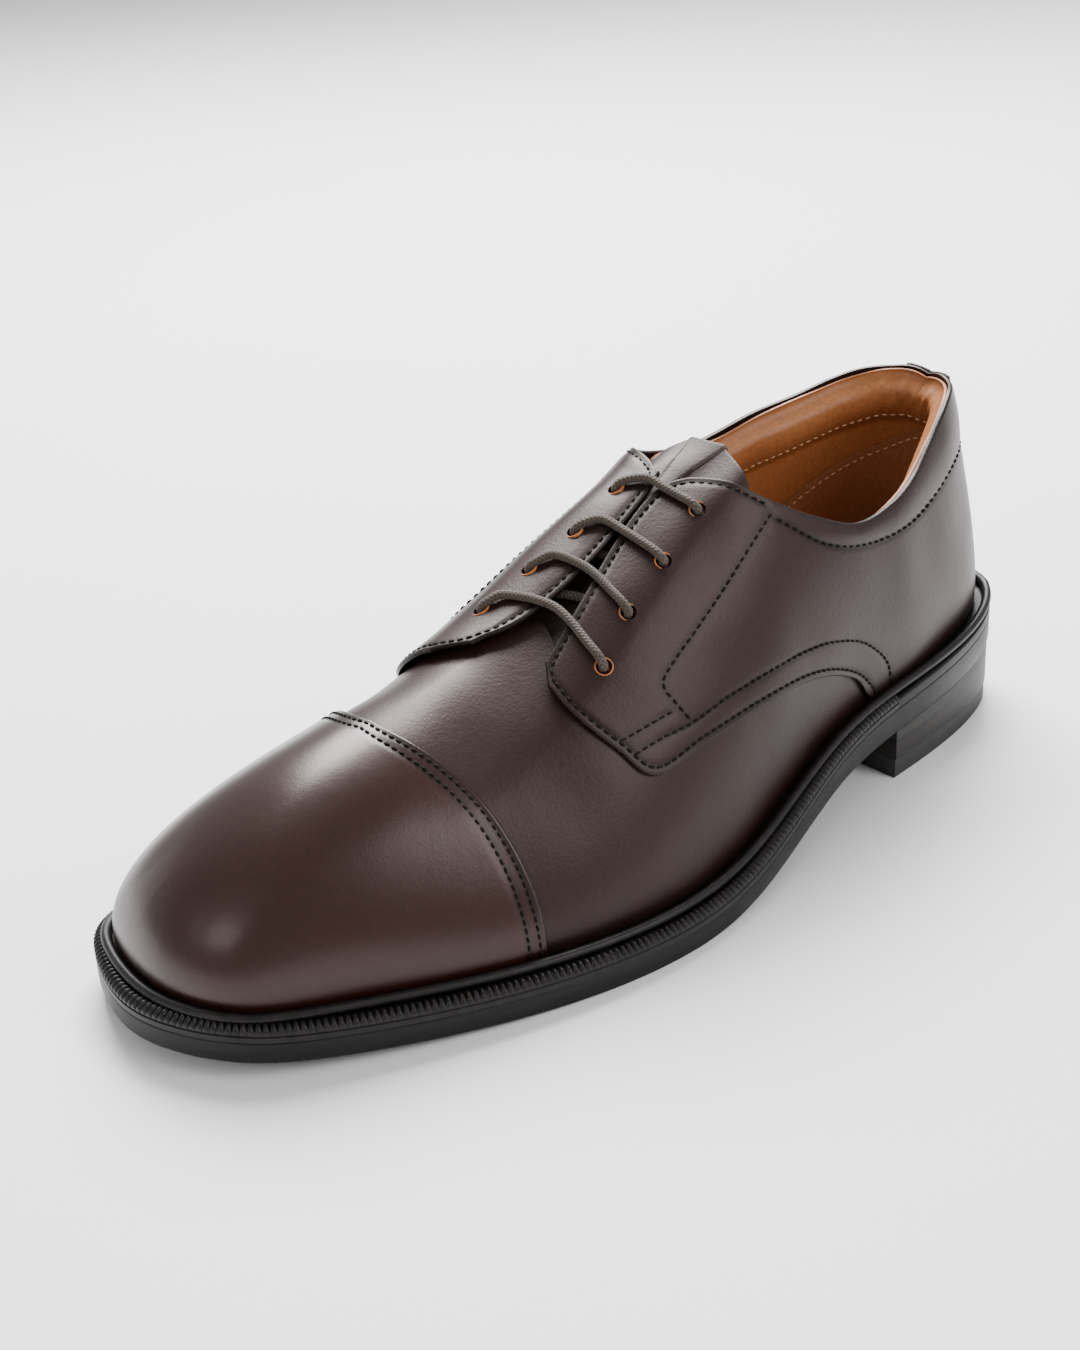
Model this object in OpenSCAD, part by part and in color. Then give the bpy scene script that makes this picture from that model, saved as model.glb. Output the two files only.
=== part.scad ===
// Cap-toe lace-up leather shoe, left foot, with open (derby) lacing.
// Every leather layer is a thin closed sheet laid off one foot-shaped surface.
// That surface has two coordinates: t runs from the heel back (0) to the toe tip (11),
// and w runs over the foot from the outer edge (0) by the instep ridge (1) to the inner edge (2).
// Lengths in millimetres. The toe points to -Y, the outer side of the foot is +X, the floor is z = 0.

/* [Leather] */
// Thickness of the vamp, quarters and cap
leather = 1.25; // [1:0.05:1.3]
// Thickness of the linings
lining = 1; // [0.8:0.1:1]
// Clearance between two layers
gap = 0.35; // [0.3:0.05:0.35]

/* [Sole] */
// Depth of the sole's underside below the feather edge at the ball
sole_depth = 9.6; // [9.4:0.1:11]
// Height of the welt strip
welt_h = 3; // [2:0.1:3]
// Distance of the heel breast from the heel back
heel_len = 73; // [66:1:76]
// Height of the rubber top piece under the heel
top_piece_h = 6; // [4:0.5:8]
// Width of the welt ledge inside the upper
welt_in = 7; // [5:0.5:8]

/* [Lace] */
// Radius of the round lace
lace_r = 1.2; // [1:0.1:1.3]
// Radius of a punched eyelet
eyelet_r = 2.1; // [2:0.1:2.3]

/* [Hidden] */

// Length of the last from heel back to toe tip, and the place of the frame's origin on it
mid_s = 152.3;
mid_x = 2.1;
last_row = 11;

// Stations of the last: s, x outer, x inner and z of the feather edge, width of the sole edge there,
// then s, x and z of the top rail, then lower reach, lean, upper reach and droop of the section curve
STATIONS = [
    [5, 0, 0, 34, 4, 16, 0, 117, 25, 11, 30, 84],
    [7, 17, 20, 33, 5, 18, 10, 113, 20, 2, 31, 84],
    [28, 28, 31, 30, 5, 32, 20, 115, 23, 6, 30, 84],
    [60, 33, 31, 28, 6, 62, 22, 118, 26, 8, 34, 80],
    [99, 35, 29, 25, 7, 96, 12, 118, 26, 8, 36, 45],
    [146, 50, 37, 10, 8, 123, 0, 104, 23, 8, 34, 8],
    [182, 55, 50, 9, 9, 154, 0, 90, 20, 10, 34, 4],
    [224, 47, 48, 10, 9, 191, 0, 70, 17, 10, 27, 0],
    [259, 33, 40, 12, 10, 227, 0, 62, 21, 11, 31, 0],
    [286, 23, 38, 14, 7, 252, 0, 57, 17, 11, 25, 0],
    [293, 10, 24, 15, 7, 264, 0, 51, 15, 10, 19, 0],
    [296, -4, 4, 15, 9, 267, 0, 50, 14, 10, 18, 0]];

// One station seen from one side (1 outer, -1 inner); past either end the last comes back up the other side
function station(side, i) = i < 0 ? station(-side, -i)
    : i > last_row ? station(-side, 2 * last_row - i)
    : let (r = STATIONS[i], end = i == 0 || i == last_row, out = end || side > 0)
      [out ? r[1] : -r[2], r[0], r[3], r[4], (out ? 1 : -1) * r[6], r[5], r[7], r[8], r[9], r[10], r[11]];

// Smooth blend of four stations around t
function section(side, t) = let (i = min(floor(t), last_row - 1), u = t - i)
    pow(1 - u, 3) / 6 * station(side, i - 1) + (3 * pow(u, 3) - 6 * pow(u, 2) + 4) / 6 * station(side, i)
    + (-3 * pow(u, 3) + 3 * pow(u, 2) + 3 * u + 1) / 6 * station(side, i + 1)
    + pow(u, 3) / 6 * station(side, i + 2);

function clamp(x, lo, hi) = min(max(x, lo), hi);
function ease(x) = let (u = clamp(x, 0, 1)) u * u * (3 - 2 * u);

// Slope of the ridge at t, which the section curves meet at right angles
function ridge_slope(t) = let (a = section(1, max(t - 0.01, 0)), b = section(1, min(t + 0.01, last_row)))
    abs(b[5] - a[5]) < 0.0001 ? 0 : (b[6] - a[6]) / (b[5] - a[5]);

// Point of the last on one side, v from the feather edge (0) to the top rail (1); result is [x, s, z]
function side_point(side, t, v) = let (q = section(side, t),
    d = [q[0] - q[4], q[1] - q[5]], o = d / max(norm(d), 0.0001),
    m = ridge_slope(min(t, last_row - 0.35)) * clamp(1 - q[10] / 30, 0, 1),
    p0 = [q[0], q[1], q[2]], p3 = [q[4], q[5], q[6]],
    p1 = p0 + q[7] * [sin(q[8]) * o[0], sin(q[8]) * o[1], cos(q[8])],
    p2 = p3 + q[9] * [cos(q[10]) * o[0], cos(q[10]) * o[1], cos(q[10]) * o[1] * m - sin(q[10])])
    pow(1 - v, 3) * p0 + 3 * v * pow(1 - v, 2) * p1 + 3 * v * v * (1 - v) * p2 + pow(v, 3) * p3;

// Point of the last at (t, w); t below 0 or past the toe folds over to the other side
function last_point(t, w) = t < 0 ? last_point(-t, 2 - w)
    : t > last_row ? last_point(2 * last_row - t, 2 - w)
    : w <= 1 ? side_point(1, t, max(w, 0)) : side_point(-1, t, max(2 - w, 0));

// Flattening of the top between the two rows of eyelets
instep_dip = 3.2;
function dip(t, w) = let (k = clamp((t - 5.2) / 1.2, -1, 2),
    x = clamp((w - 0.94 + 0.05 * k) / (0.19 + 0.1 * k), -1, 1))
    instep_dip * pow(1 - x * x, 2) * ease((t - 3.9) / 0.9) * ease((7.8 - t) / 1.4);

// The same point moved by off along the outward normal, in the part's frame
function skin_point(t, w, off) = let (e = 0.02, wc = clamp(w, e, 2 - e),
    tc = abs(w - 1) < e ? min(t, last_row - 2 * e) : t,
    a = last_point(tc + e, wc) - last_point(tc - e, wc), b = last_point(tc, wc + e) - last_point(tc, wc - e),
    n = cross(a, b), p = last_point(t, w) + (off - dip(t, w)) * n / norm(n))
    [p[0] - mid_x, mid_s - p[1], p[2]];

// ---- offsets of the layers from the last surface, and lines drawn on it ----

rise = 2;          // how far the lacing flaps stand over the tongue
facing_gap = 0.8;  // room between a flap and its lining
facing_t = 0.8;    // lining of the lacing flaps
counter_t = 1.4;   // heel counter
vamp_in = -leather;
under_vamp = vamp_in - gap;
over_vamp = leather + gap;

function side_v(w) = w <= 1 ? w : 2 - w;
// Outer face of the quarters: flush at the heel, over the vamp further forward, lifted by the tongue
quarter_out = function(t, w) over_vamp * ease(abs(t) - 2.2)
    + rise * ease((side_v(w) - 0.5) / 0.35) * ease((abs(t) - 4) / 0.8);
quarter_inner = function(t, w) quarter_out(t, w) - leather;
behind_quarter = function(t, w) quarter_inner(t, w) - gap;
facing_out = function(t, w) quarter_inner(t, w) - facing_gap;
facing_inner = function(t, w) facing_out(t, w) - facing_t;

// Topline: height v at t, lower under the outer ankle than under the inner one
OUTER_TOPLINE = [[0, 0.84], [0.6, 0.86], [1.2, 0.87], [1.6, 0.86], [2, 0.82], [2.35, 0.76], [2.65, 0.7],
    [2.95, 0.66], [3.2, 0.63], [3.4, 0.62], [3.65, 0.62], [3.9, 0.66], [4.1, 0.7], [4.35, 0.76], [4.5, 0.79]];
INNER_TOPLINE = [[0, 0.84], [0.6, 0.87], [1.3, 0.88], [2.1, 0.84], [2.75, 0.79], [3.1, 0.77], [3.5, 0.735],
    [3.75, 0.72], [4, 0.735], [4.2, 0.76], [4.5, 0.8]];
function topline(t) = t < 0 ? lookup(-t, INNER_TOPLINE) : lookup(t, OUTER_TOPLINE);
function topline_at(t, w) = topline(t >= 0 && w > 1 ? -t : t);

// Roll of padding under the topline, from 0 at its two edges to 1 at its middle
pad_drop = 0.19;
function pad_bulge(t, w) = sin(180 * clamp((side_v(w) - topline_at(t, w) + pad_drop) / pad_drop, 0, 1))
    * ease((4.5 - abs(t)) / 0.5);
lining_low = function(t, w) min(quarter_inner(t, w) - gap - (counter_t + gap) * ease((3.4 - abs(t)) / 0.4),
    under_vamp) - 3.2 * pad_bulge(t, w);
// Rolls out to the quarter at the topline, which closes the padded collar
lining_out = function(t, w)
    let (f = ease((side_v(w) - topline_at(t, w) + 0.06) / 0.045) * ease((4.5 - abs(t)) / 0.3))
    lining_low(t, w) * (1 - f) + (quarter_inner(t, w) - 0.4) * f;
lining_inner = function(t, w) lining_out(t, w) - lining;

function level(off) = function(t, w) off;

// Toe cap seam: t at w
function cap_seam(w) = let (k = w <= 1 ? 0.55 : 0.8) 6.8 + (1.27 + k) * pow(side_v(w), 2.6) - k * pow(side_v(w), 5.2);

// ---- sheets ----

function ruled(a, b, n) = [for (i = [0:n]) a * (1 - i / n) + b * i / n];
function catmull(a, b, c, d, u) = 0.5 * (2 * b + u * (c - a) + u * u * (2 * a - 5 * b + 4 * c - d)
    + u * u * u * (3 * b - a - 3 * c + d));
function smooth(p, n) = let (m = len(p) - 1) concat([for (i = [0:m - 1], k = [0:n - 1])
    catmull(p[max(i - 1, 0)], p[i], p[i + 1], p[min(i + 2, m)], k / n)], [p[m]]);
function inner_side(pts) = [for (p = pts) [p[0], 2 - p[1]]];

// Closed sheet between two offsets over a grid of (t, w); zip joins the last row to itself over the toe
module sheet(grid, out, inside, zip = false) {
    n = len(grid) - 1;
    m = len(grid[0]) - 1;
    count = (n + 1) * (m + 1);
    function id(i, j) = i * (m + 1) + (zip && i == n ? min(j, m - j) : j);
    points = concat([for (r = grid, q = r) skin_point(q[0], q[1], out(q[0], q[1]))],
        [for (r = grid, q = r) skin_point(q[0], q[1], inside(q[0], q[1]))]);
    cells = [for (i = [0:n - 1], j = [0:m - 1]) each [
        [id(i, j), id(i + 1, j), id(i + 1, j + 1)], [id(i, j), id(i + 1, j + 1), id(i, j + 1)]]];
    solid_cells = [for (c = cells) if (c[0] != c[1] && c[1] != c[2] && c[0] != c[2]) c];
    rim = concat([for (j = [0:m - 1]) [id(0, j), id(0, j + 1)]],
        [for (i = [0:n - 1]) [id(i, m), id(i + 1, m)]],
        zip ? [] : [for (j = [m:-1:1]) [id(n, j), id(n, j - 1)]],
        [for (i = [n:-1:1]) [id(i, 0), id(i - 1, 0)]]);
    faces = concat(solid_cells, [for (c = solid_cells) [c[2] + count, c[1] + count, c[0] + count]],
        [for (e = rim) each [[e[0], e[1], e[1] + count], [e[0], e[1] + count, e[0] + count]]]);
    a = points[solid_cells[0][0]];
    face_normal = cross(points[solid_cells[0][1]] - a, points[solid_cells[0][2]] - a);
    turned = face_normal * (a - points[solid_cells[0][0] + count]) > 0;
    polyhedron(points, turned ? [for (f = faces) [f[2], f[1], f[0]]] : faces, convexity = 10);
}

// Round cord along points, its frame carried along without twist
function unit(v) = v / max(norm(v), 0.000001);
function headings(p) = let (m = len(p) - 1) [for (i = [0:m]) unit(p[min(i + 1, m)] - p[max(i - 1, 0)])];
function carried(d, i, n) = i == 0 ? [unit(n - (n * d[0]) * d[0])]
    : let (before = carried(d, i - 1, n), last = before[len(before) - 1])
      concat(before, [unit(last - (last * d[i]) * d[i])]);
module cord(p, r, sides = 8) {
    d = headings(p);
    m = len(p) - 1;
    ups = carried(d, m, [0.31, 0.22, 0.92]);
    points = [for (i = [0:m], k = [0:sides - 1]) let (a = 360 * k / sides)
        p[i] + r * (cos(a) * ups[i] + sin(a) * cross(d[i], ups[i]))];
    faces = concat([for (i = [0:m - 1], k = [0:sides - 1]) let (k2 = (k + 1) % sides)
        each [[i * sides + k, (i + 1) * sides + k, (i + 1) * sides + k2],
            [i * sides + k, (i + 1) * sides + k2, i * sides + k2]]],
        [[for (k = [0:sides - 1]) k], [for (k = [sides - 1:-1:0]) m * sides + k]]);
    polyhedron(points, faces, convexity = 10);
}

// ---- sole ----

rim_steps = 40;
RIM = [for (k = [0:2 * rim_steps - 1]) k <= rim_steps ? section(1, k * last_row / rim_steps)
    : section(-1, (2 * rim_steps - k) * last_row / rim_steps)];
function rim_at(k) = RIM[(k + 2 * rim_steps) % (2 * rim_steps)];
function rim_out(k) = let (d = rim_at(k + 1) - rim_at(k - 1)) unit([d[1], -d[0]]);
// Feather edge seen from above, moved outward by d and, with edge = 1, by the sole edge's own width
function rim_point(k, d, edge) = let (q = rim_at(k), p = [q[0], q[1]] + (d + edge * q[3]) * rim_out(k))
    [p[0] - mid_x, mid_s - p[1]];
module plan(d, edge = 0) {
    linear_extrude(60) polygon([for (k = [0:2 * rim_steps - 1]) rim_point(k, d, edge)]);
}

// Everything between two heights over the feather line, as it runs from heel to toe
module band(top, bottom) {
    line = [for (k = [0:rim_steps]) [mid_s - RIM[k][1], RIM[k][2], k * last_row / rim_steps]];
    first = line[0];
    final = line[rim_steps];
    upper = concat([[first[0] + 20, first[1] + top(0)]], [for (p = line) [p[0], p[1] + top(p[2])]],
        [[final[0] - 20, final[1] + top(last_row)]]);
    lower = concat([[final[0] - 20, final[1] + bottom(last_row)]],
        [for (k = [rim_steps:-1:0]) [line[k][0], line[k][1] + bottom(line[k][2])]],
        [[first[0] + 20, first[1] + bottom(0)]]);
    rotate([90, 0, 90]) linear_extrude(150, center = true) polygon(concat(upper, lower));
}
module between(s0, s1) {
    translate([-80, mid_s - s1, 0]) cube([160, s1 - s0, 60]);
}

welt_top = -0.6;
welt_bottom = welt_top - welt_h;
under_sole = function(t) -sole_depth - 1.9 * (1 - ease((t - 3) / 2));

module outsole() {
    color("#1d1a1a") intersection() {
        plan(0, 1);
        band(function(t) welt_bottom - 0.05, under_sole);
        translate([-80, -170, 0]) cube([160, 340, 60]);
    }
}
module welt_ring(s0, s1) {
    intersection() {
        difference() {
            plan(0, 1);
            plan(-welt_in);
        }
        band(function(t) welt_top, function(t) welt_bottom);
        between(s0, s1);
    }
}
module welt() {
    color("#262122") welt_ring(heel_len + 0.5, 320);
}
module heel_rand() {
    color("#1f1c1c") welt_ring(-20, heel_len);
}
function seat_z(s) = lookup(s, [for (k = [0:rim_steps]) [RIM[k][1], RIM[k][2]]]);
module welt_bead() {
    bead_r = 1.4;
    sides = 6;
    rings = 2 * rim_steps;
    points = [for (k = [0:rings - 1], j = [0:sides - 1]) let (a = 360 * j / sides,
        p = rim_point(k, 3.7 + bead_r * cos(a), 0)) [p[0], p[1], seat_z(mid_s - p[1]) + 0.95 + bead_r * sin(a)]];
    faces = [for (k = [0:rings - 1], j = [0:sides - 1]) let (k2 = (k + 1) % rings, j2 = (j + 1) % sides)
        each [[k * sides + j, k2 * sides + j2, k * sides + j2], [k * sides + j, k2 * sides + j, k2 * sides + j2]]];
    color("#211d1d") polyhedron(points, faces, convexity = 6);
}
module heel_block() {
    color("#2a2727") intersection() {
        plan(-0.4, 1);
        band(function(t) under_sole(t) - 0.05, function(t) -60);
        between(-20, heel_len);
        translate([-80, 0, top_piece_h + 0.05]) cube([160, 170, 60]);
    }
}
module heel_top_piece() {
    color("#171616") intersection() {
        plan(-0.9, 1);
        translate([-80, mid_s - heel_len, 0]) cube([160, heel_len + 20, top_piece_h]);
    }
}
NAILS = [[16, 0], [30, 14], [30, -14], [56, 17], [56, -15]];
module heel_nails() {
    color("#b9b7b2") for (n = NAILS) translate([n[1], mid_s - n[0], 8]) cylinder(h = 19.4, r = 1, $fn = 24);
}
shank_s = [58, 158];
module shank_strip(play) {
    intersection() {
        translate([-3 - play, mid_s - shank_s[1] - play, 0])
            cube([12 + 2 * play, shank_s[1] - shank_s[0] + 2 * play, 60]);
        band(function(t) -1.5 + play, function(t) -2.7 - play);
    }
}
module shank() {
    color("#9fa3a8") shank_strip(0);
}
module cork_filler() {
    color("#b58b5a") difference() {
        intersection() {
            plan(-welt_in - 0.3);
            band(function(t) welt_top - 0.05, function(t) welt_bottom);
        }
        shank_strip(0.2);
    }
}
insole_top = 1.7;
pad_h = 2.2;
module insole_board() {
    color("#c9a878") intersection() {
        plan(-5.2);
        band(function(t) insole_top, function(t) -0.4);
    }
}
module heel_pad() {
    color("#d8c7a0") intersection() {
        plan(-8);
        band(function(t) insole_top + 0.1 + pad_h, function(t) insole_top + 0.1);
        between(-20, 56);
    }
}
sock_under = function(t) insole_top + 0.2 + pad_h * (1 - ease((t - 3) / 0.6));
module sock_lining() {
    color("#b8733d") intersection() {
        plan(-6.4);
        band(function(t) sock_under(t) + 1.1, sock_under);
    }
}

// ---- upper ----

// Hidden rear edge of the vamp, over the foot from the outer to the inner feather edge
VAMP_REAR = smooth([[3.3, 0], [3.65, 0.22], [4.3, 0.38], [5.1, 0.46], [5.8, 0.5], [6.28, 0.58], [6.43, 0.7],
    [6.47, 0.86], [6.62, 1], [6.85, 1.1], [6.8, 1.24], [6.5, 1.42], [5.9, 1.5], [5.1, 1.54], [4.3, 1.62],
    [3.65, 1.78], [3.3, 2]], 2);
module vamp() {
    m = len(VAMP_REAR) - 1;
    front = [for (j = [0:m]) let (w = 2 * j / m) [cap_seam(w) + 0.35, w]];
    color("#3b2a26") sheet(ruled(VAMP_REAR, front, 10), level(0), level(vamp_in));
}
function toe_grid(start, rows, columns) = [for (i = [0:rows]) [for (j = [0:columns])
    let (w = 2 * j / columns, t0 = cap_seam(w) + start) [t0 + (last_row - t0) * i / rows, w]]];
module toe_cap() {
    color("#35231f") sheet(toe_grid(0, 10, 20), level(over_vamp), level(gap), zip = true);
}
module toe_puff() {
    color("#d9d2c0") sheet(toe_grid(0.8, 8, 16), level(0), level(vamp_in), zip = true);
}
function across(half) = concat(half, inner_side([for (i = [len(half) - 2:-1:0]) half[i]]));
LINING_REAR = across([[5.1, 0], [5.1, 0.14], [5.1, 0.28], [5.2, 0.42], [5.8, 0.52], [6.6, 0.62],
    [6.9, 0.75], [6.95, 0.88], [6.95, 1]]);
module vamp_lining() {
    m = len(LINING_REAR) - 1;
    toe_end = [for (j = [0:m]) [last_row, 2 * j / m]];
    color("#b8733d") sheet(ruled(LINING_REAR, toe_end, 14), level(under_vamp - 0.15),
        level(under_vamp - lining), zip = true);
}

// Outline of a quarter: along the feather and its free lower and front edges, then along the topline and facing
OUTER_LOW = [[0, 0], [0.6, 0], [1.2, 0], [1.7, 0], [2.2, 0], [2.7, 0], [3.1, 0], [3.5, 0.02], [3.75, 0.16],
    [4.2, 0.28], [4.8, 0.35], [5.36, 0.38], [5.87, 0.39], [6.14, 0.49], [6.42, 0.62], [6.56, 0.72]];
OUTER_TOP = [[0, 0.84], [0.7, 0.865], [1.5, 0.865], [2, 0.82], [2.4, 0.75], [2.8, 0.675], [3.2, 0.63], [3.6, 0.62],
    [4, 0.68], [4.4, 0.765], [4.72, 0.86], [5, 0.93], [5.3, 0.955], [5.75, 0.92], [6.2, 0.85], [6.55, 0.78]];
INNER_LOW = [[0, 0], [0.6, 0], [1.2, 0], [1.7, 0], [2.2, 0], [2.7, 0], [3.1, 0], [3.5, 0.02], [3.75, 0.16],
    [4.2, 0.28], [4.8, 0.35], [5.45, 0.38], [6.05, 0.39], [6.5, 0.52], [6.85, 0.68], [7.05, 0.86]];
INNER_TOP = [[0, 0.84], [0.7, 0.872], [1.5, 0.872], [2.1, 0.84], [2.6, 0.8], [3.1, 0.77], [3.5, 0.735],
    [3.75, 0.72], [4.05, 0.74], [4.4, 0.79], [4.75, 0.88], [5.15, 1], [5.5, 1.045], [6.1, 1.07], [6.67, 1.05],
    [7.05, 0.985]];
function outer_quarter() = ruled(smooth(OUTER_LOW, 2), smooth(OUTER_TOP, 2), 12);
function inner_quarter() = flipped(ruled(smooth(INNER_LOW, 2), smooth(INNER_TOP, 2), 12));
function flipped(grid) = [for (r = grid) inner_side(r)];
// Eyelets from the bottom pair to the top pair: [t, w] on the outer and on the inner flap
EYELETS = [[[6.13, 0.67], [6.64, 1.11]], [[5.84, 0.735], [6.26, 1.08]], [[5.43, 0.775], [5.89, 1.05]],
    [[5, 0.825], [5.4, 1.05]]];
module eyelet_holes(side, wider = 0) {
    for (pair = EYELETS) {
        e = pair[side > 0 ? 0 : 1];
        a = skin_point(e[0], e[1], -4);
        b = skin_point(e[0], e[1], 6);
        d = unit(b - a);
        translate(a) rotate([0, acos(d[2]), atan2(d[1], d[0])]) cylinder(h = 10, r = eyelet_r + wider, $fn = 16);
    }
}
module quarter_lateral() {
    color("#3a2a28") difference() {
        sheet(outer_quarter(), quarter_out, quarter_inner);
        eyelet_holes(1);
    }
}
module quarter_medial() {
    color("#3a2a28") difference() {
        sheet(inner_quarter(), quarter_out, quarter_inner);
        eyelet_holes(-1);
    }
}
FACING_LOW = [[4.6, 0.755], [4.85, 0.73], [5.1, 0.7], [5.4, 0.665], [5.7, 0.63], [6, 0.6], [6.25, 0.645]];
FACING_TOP = [[4.8, 0.82], [4.98, 0.875], [5.25, 0.925], [5.5, 0.92], [5.8, 0.895], [6.1, 0.85], [6.35, 0.79]];
INNER_FACING_LOW = [[4.85, 0.8], [5, 0.79], [5.2, 0.785], [5.6, 0.78], [6, 0.78], [6.4, 0.785], [6.85, 0.8]];
INNER_FACING_TOP = [[5, 0.84], [5.15, 0.9], [5.38, 0.97], [5.7, 1.025], [6.1, 1.04], [6.5, 1.035], [6.9, 0.98]];
function facing_grid() = ruled(smooth(FACING_LOW, 2), smooth(FACING_TOP, 2), 6);
function inner_facing_grid() = flipped(ruled(smooth(INNER_FACING_LOW, 2), smooth(INNER_FACING_TOP, 2), 6));
module facing_lateral() {
    color("#b8733d") difference() {
        sheet(facing_grid(), facing_out, facing_inner);
        eyelet_holes(1, 1);
    }
}
module facing_medial() {
    color("#b8733d") difference() {
        sheet(inner_facing_grid(), facing_out, facing_inner);
        eyelet_holes(-1, 1.2);
    }
}
module back_stay() {
    half = 0.7;
    grid = heel_patch(half, 6, 10, function(t) 0.02, function(t) topline(t));
    color("#3a2a28") sheet(grid, level(1.1), level(0.25));
}

LINING_T = [0, 0.6, 1.2, 1.8, 2.4, 3, 3.6, 4.2];
LINING_LOW = concat([for (t = LINING_T) [t, 0]], [[5, 0]]);
function lining_top(side) = concat([for (t = LINING_T) [t, topline(side * t) - 0.008]], [[4.6, 0.7]]);
function lining_grid(side) = ruled(smooth(LINING_LOW, 2), smooth(lining_top(side), 2), 20);
module lining_lateral() {
    color("#b8733d") sheet(lining_grid(1), lining_out, lining_inner);
}
module lining_medial() {
    color("#b8733d") sheet(flipped(lining_grid(-1)), lining_out, lining_inner);
}
function heel_patch(reach, columns, rows, low, top) = [for (i = [0:rows]) [for (j = [0:columns])
    let (t = -reach + 2 * reach * j / columns) [t, low(t) + (top(t) - low(t)) * i / rows]]];
module collar_padding() {
    grid = heel_patch(4.2, 28, 5, function(t) topline(t) - pad_drop, function(t) topline(t) - 0.08);
    color("#e3d9b8") sheet(grid, behind_quarter, function(t, w) lining_low(t, w) + gap + 0.15);
}
module heel_counter() {
    grid = heel_patch(3, 20, 5, function(t) 0.02, function(t) min(0.56, topline(t) - pad_drop - 0.03));
    color("#cbb89a") sheet(grid, behind_quarter, function(t, w) behind_quarter(t, w) - counter_t);
}
module heel_grip() {
    grip_top = function(t) 0.08 + (topline(0) - pad_drop - 0.09) * sqrt(1 - pow(t / 3.4, 2));
    grid = heel_patch(3.15, 21, 6, function(t) 0.07, grip_top);
    color("#7a4f30") sheet(grid, function(t, w) lining_inner(t, w) - 0.35, function(t, w) lining_inner(t, w) - 1.05);
}

// ---- tongue: a strip under the facings that curls up at its free end ----

TONGUE_END = [[0.69, 4.66], [0.75, 4.51], [0.8, 4.45], [0.86, 4.45], [0.92, 4.5], [1, 4.55], [1.08, 4.55],
    [1.15, 4.6], [1.23, 4.75]];
TONGUE_LIFT = [[0.69, 0.2], [0.77, 1], [0.83, 1], [0.88, 0.3], [0.94, -1], [1, -2.4], [1.06, -3], [1.13, -1.6],
    [1.23, 0]];
tongue_top = function(t, w) rise * ease((side_v(w) - 0.5) / 0.35) - 4.45
    + lookup(w, TONGUE_LIFT) * ease((4.95 - t) / 0.5);
module tongue_layer(down, thick) {
    grid = [for (i = [0:12]) [for (j = [0:14]) let (w = 0.96 + 0.27 * (2 * j / 14 - 1), t0 = lookup(w, TONGUE_END))
        [t0 + (6.75 - t0) * i / 12, w]]];
    sheet(grid, function(t, w) tongue_top(t, w) - down, function(t, w) tongue_top(t, w) - down - thick);
}
module tongue() {
    color("#33272a") tongue_layer(0, 1.3);
}
module tongue_lining() {
    color("#b8733d") tongue_layer(1.5, 0.9);
}

// ---- lace: four straight bars outside, three slanted runs and two tucked tails inside ----

function lace_out(t, w, up) = skin_point(t, w, quarter_out(t, w) + up);
under_facing = -4.3;
// Rise through an eyelet, from inside to outside; lean is the step in w towards the middle of the foot
function through(e, lean) = [
    lace_out(e[0], e[1] + 0.3 * lean, under_facing + 0.2),
    lace_out(e[0], e[1], -3.1),
    lace_out(e[0], e[1], 0.1),
    lace_out(e[0], e[1] + 0.35 * lean, 1.5),
    lace_out(e[0], e[1] + lean, 1.5)];
function back(p) = [for (i = [len(p) - 1:-1:0]) p[i]];
lean = 0.06;
function bar(pair) = let (a = pair[0], b = pair[1]) concat(through(a, lean),
    [lace_out((a[0] + b[0]) / 2, (a[1] + b[1]) / 2, 1.75)], back(through(b, -lean)));
function slant(a, b) = [for (k = [1:3]) let (q = a * (1 - k / 4) + b * k / 4) lace_out(q[0], q[1], under_facing)];
TAIL_OUTER = [[5.2, 0.68], [5.45, 0.655], [5.8, 0.63], [6.05, 0.645]];
TAIL_INNER = [[5.34, 1.08], [5.3, 1.17], [5.45, 1.25], [5.7, 1.295], [6, 1.31]];
TAILS = [for (tail = [TAIL_OUTER, TAIL_INNER]) [for (q = tail) lace_out(q[0], q[1], under_facing)]];
function run(k) = let (b = bar(EYELETS[k])) [for (i = [k == 0 ? 1 : 0:k == 3 ? 9 : 10]) b[i]];
LACE = concat(TAILS[0],
    [for (k = [0:3]) each concat(run(k), k < 3 ? slant(EYELETS[k][1], EYELETS[k + 1][0]) : [])], TAILS[1]);
module lace() {
    color("#5a4c42") cord(smooth(LACE, 2), lace_r);
}
aglet_l = 13;
module aglets() {
    n = len(LACE) - 1;
    color("#2c2623") for (e = [[LACE[0], LACE[1]], [LACE[n], LACE[n - 1]]]) {
        d = unit(e[0] - e[1]);
        translate(e[0] + 0.3 * d) rotate([0, acos(d[2]), atan2(d[1], d[0])]) cylinder(h = aglet_l, r = 1.3, $fn = 24);
    }
}

outsole();
welt();
heel_rand();
welt_bead();
heel_block();
heel_top_piece();
heel_nails();
cork_filler();
shank();
insole_board();
heel_pad();
sock_lining();
vamp();
toe_cap();
toe_puff();
quarter_lateral();
quarter_medial();
facing_lateral();
facing_medial();
back_stay();
tongue();
tongue_lining();
collar_padding();
heel_counter();
lining_lateral();
lining_medial();
vamp_lining();
heel_grip();
lace();
aglets();
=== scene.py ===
import math

import bmesh
import bpy
import numpy as np
from mathutils import Matrix, Vector, kdtree


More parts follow.
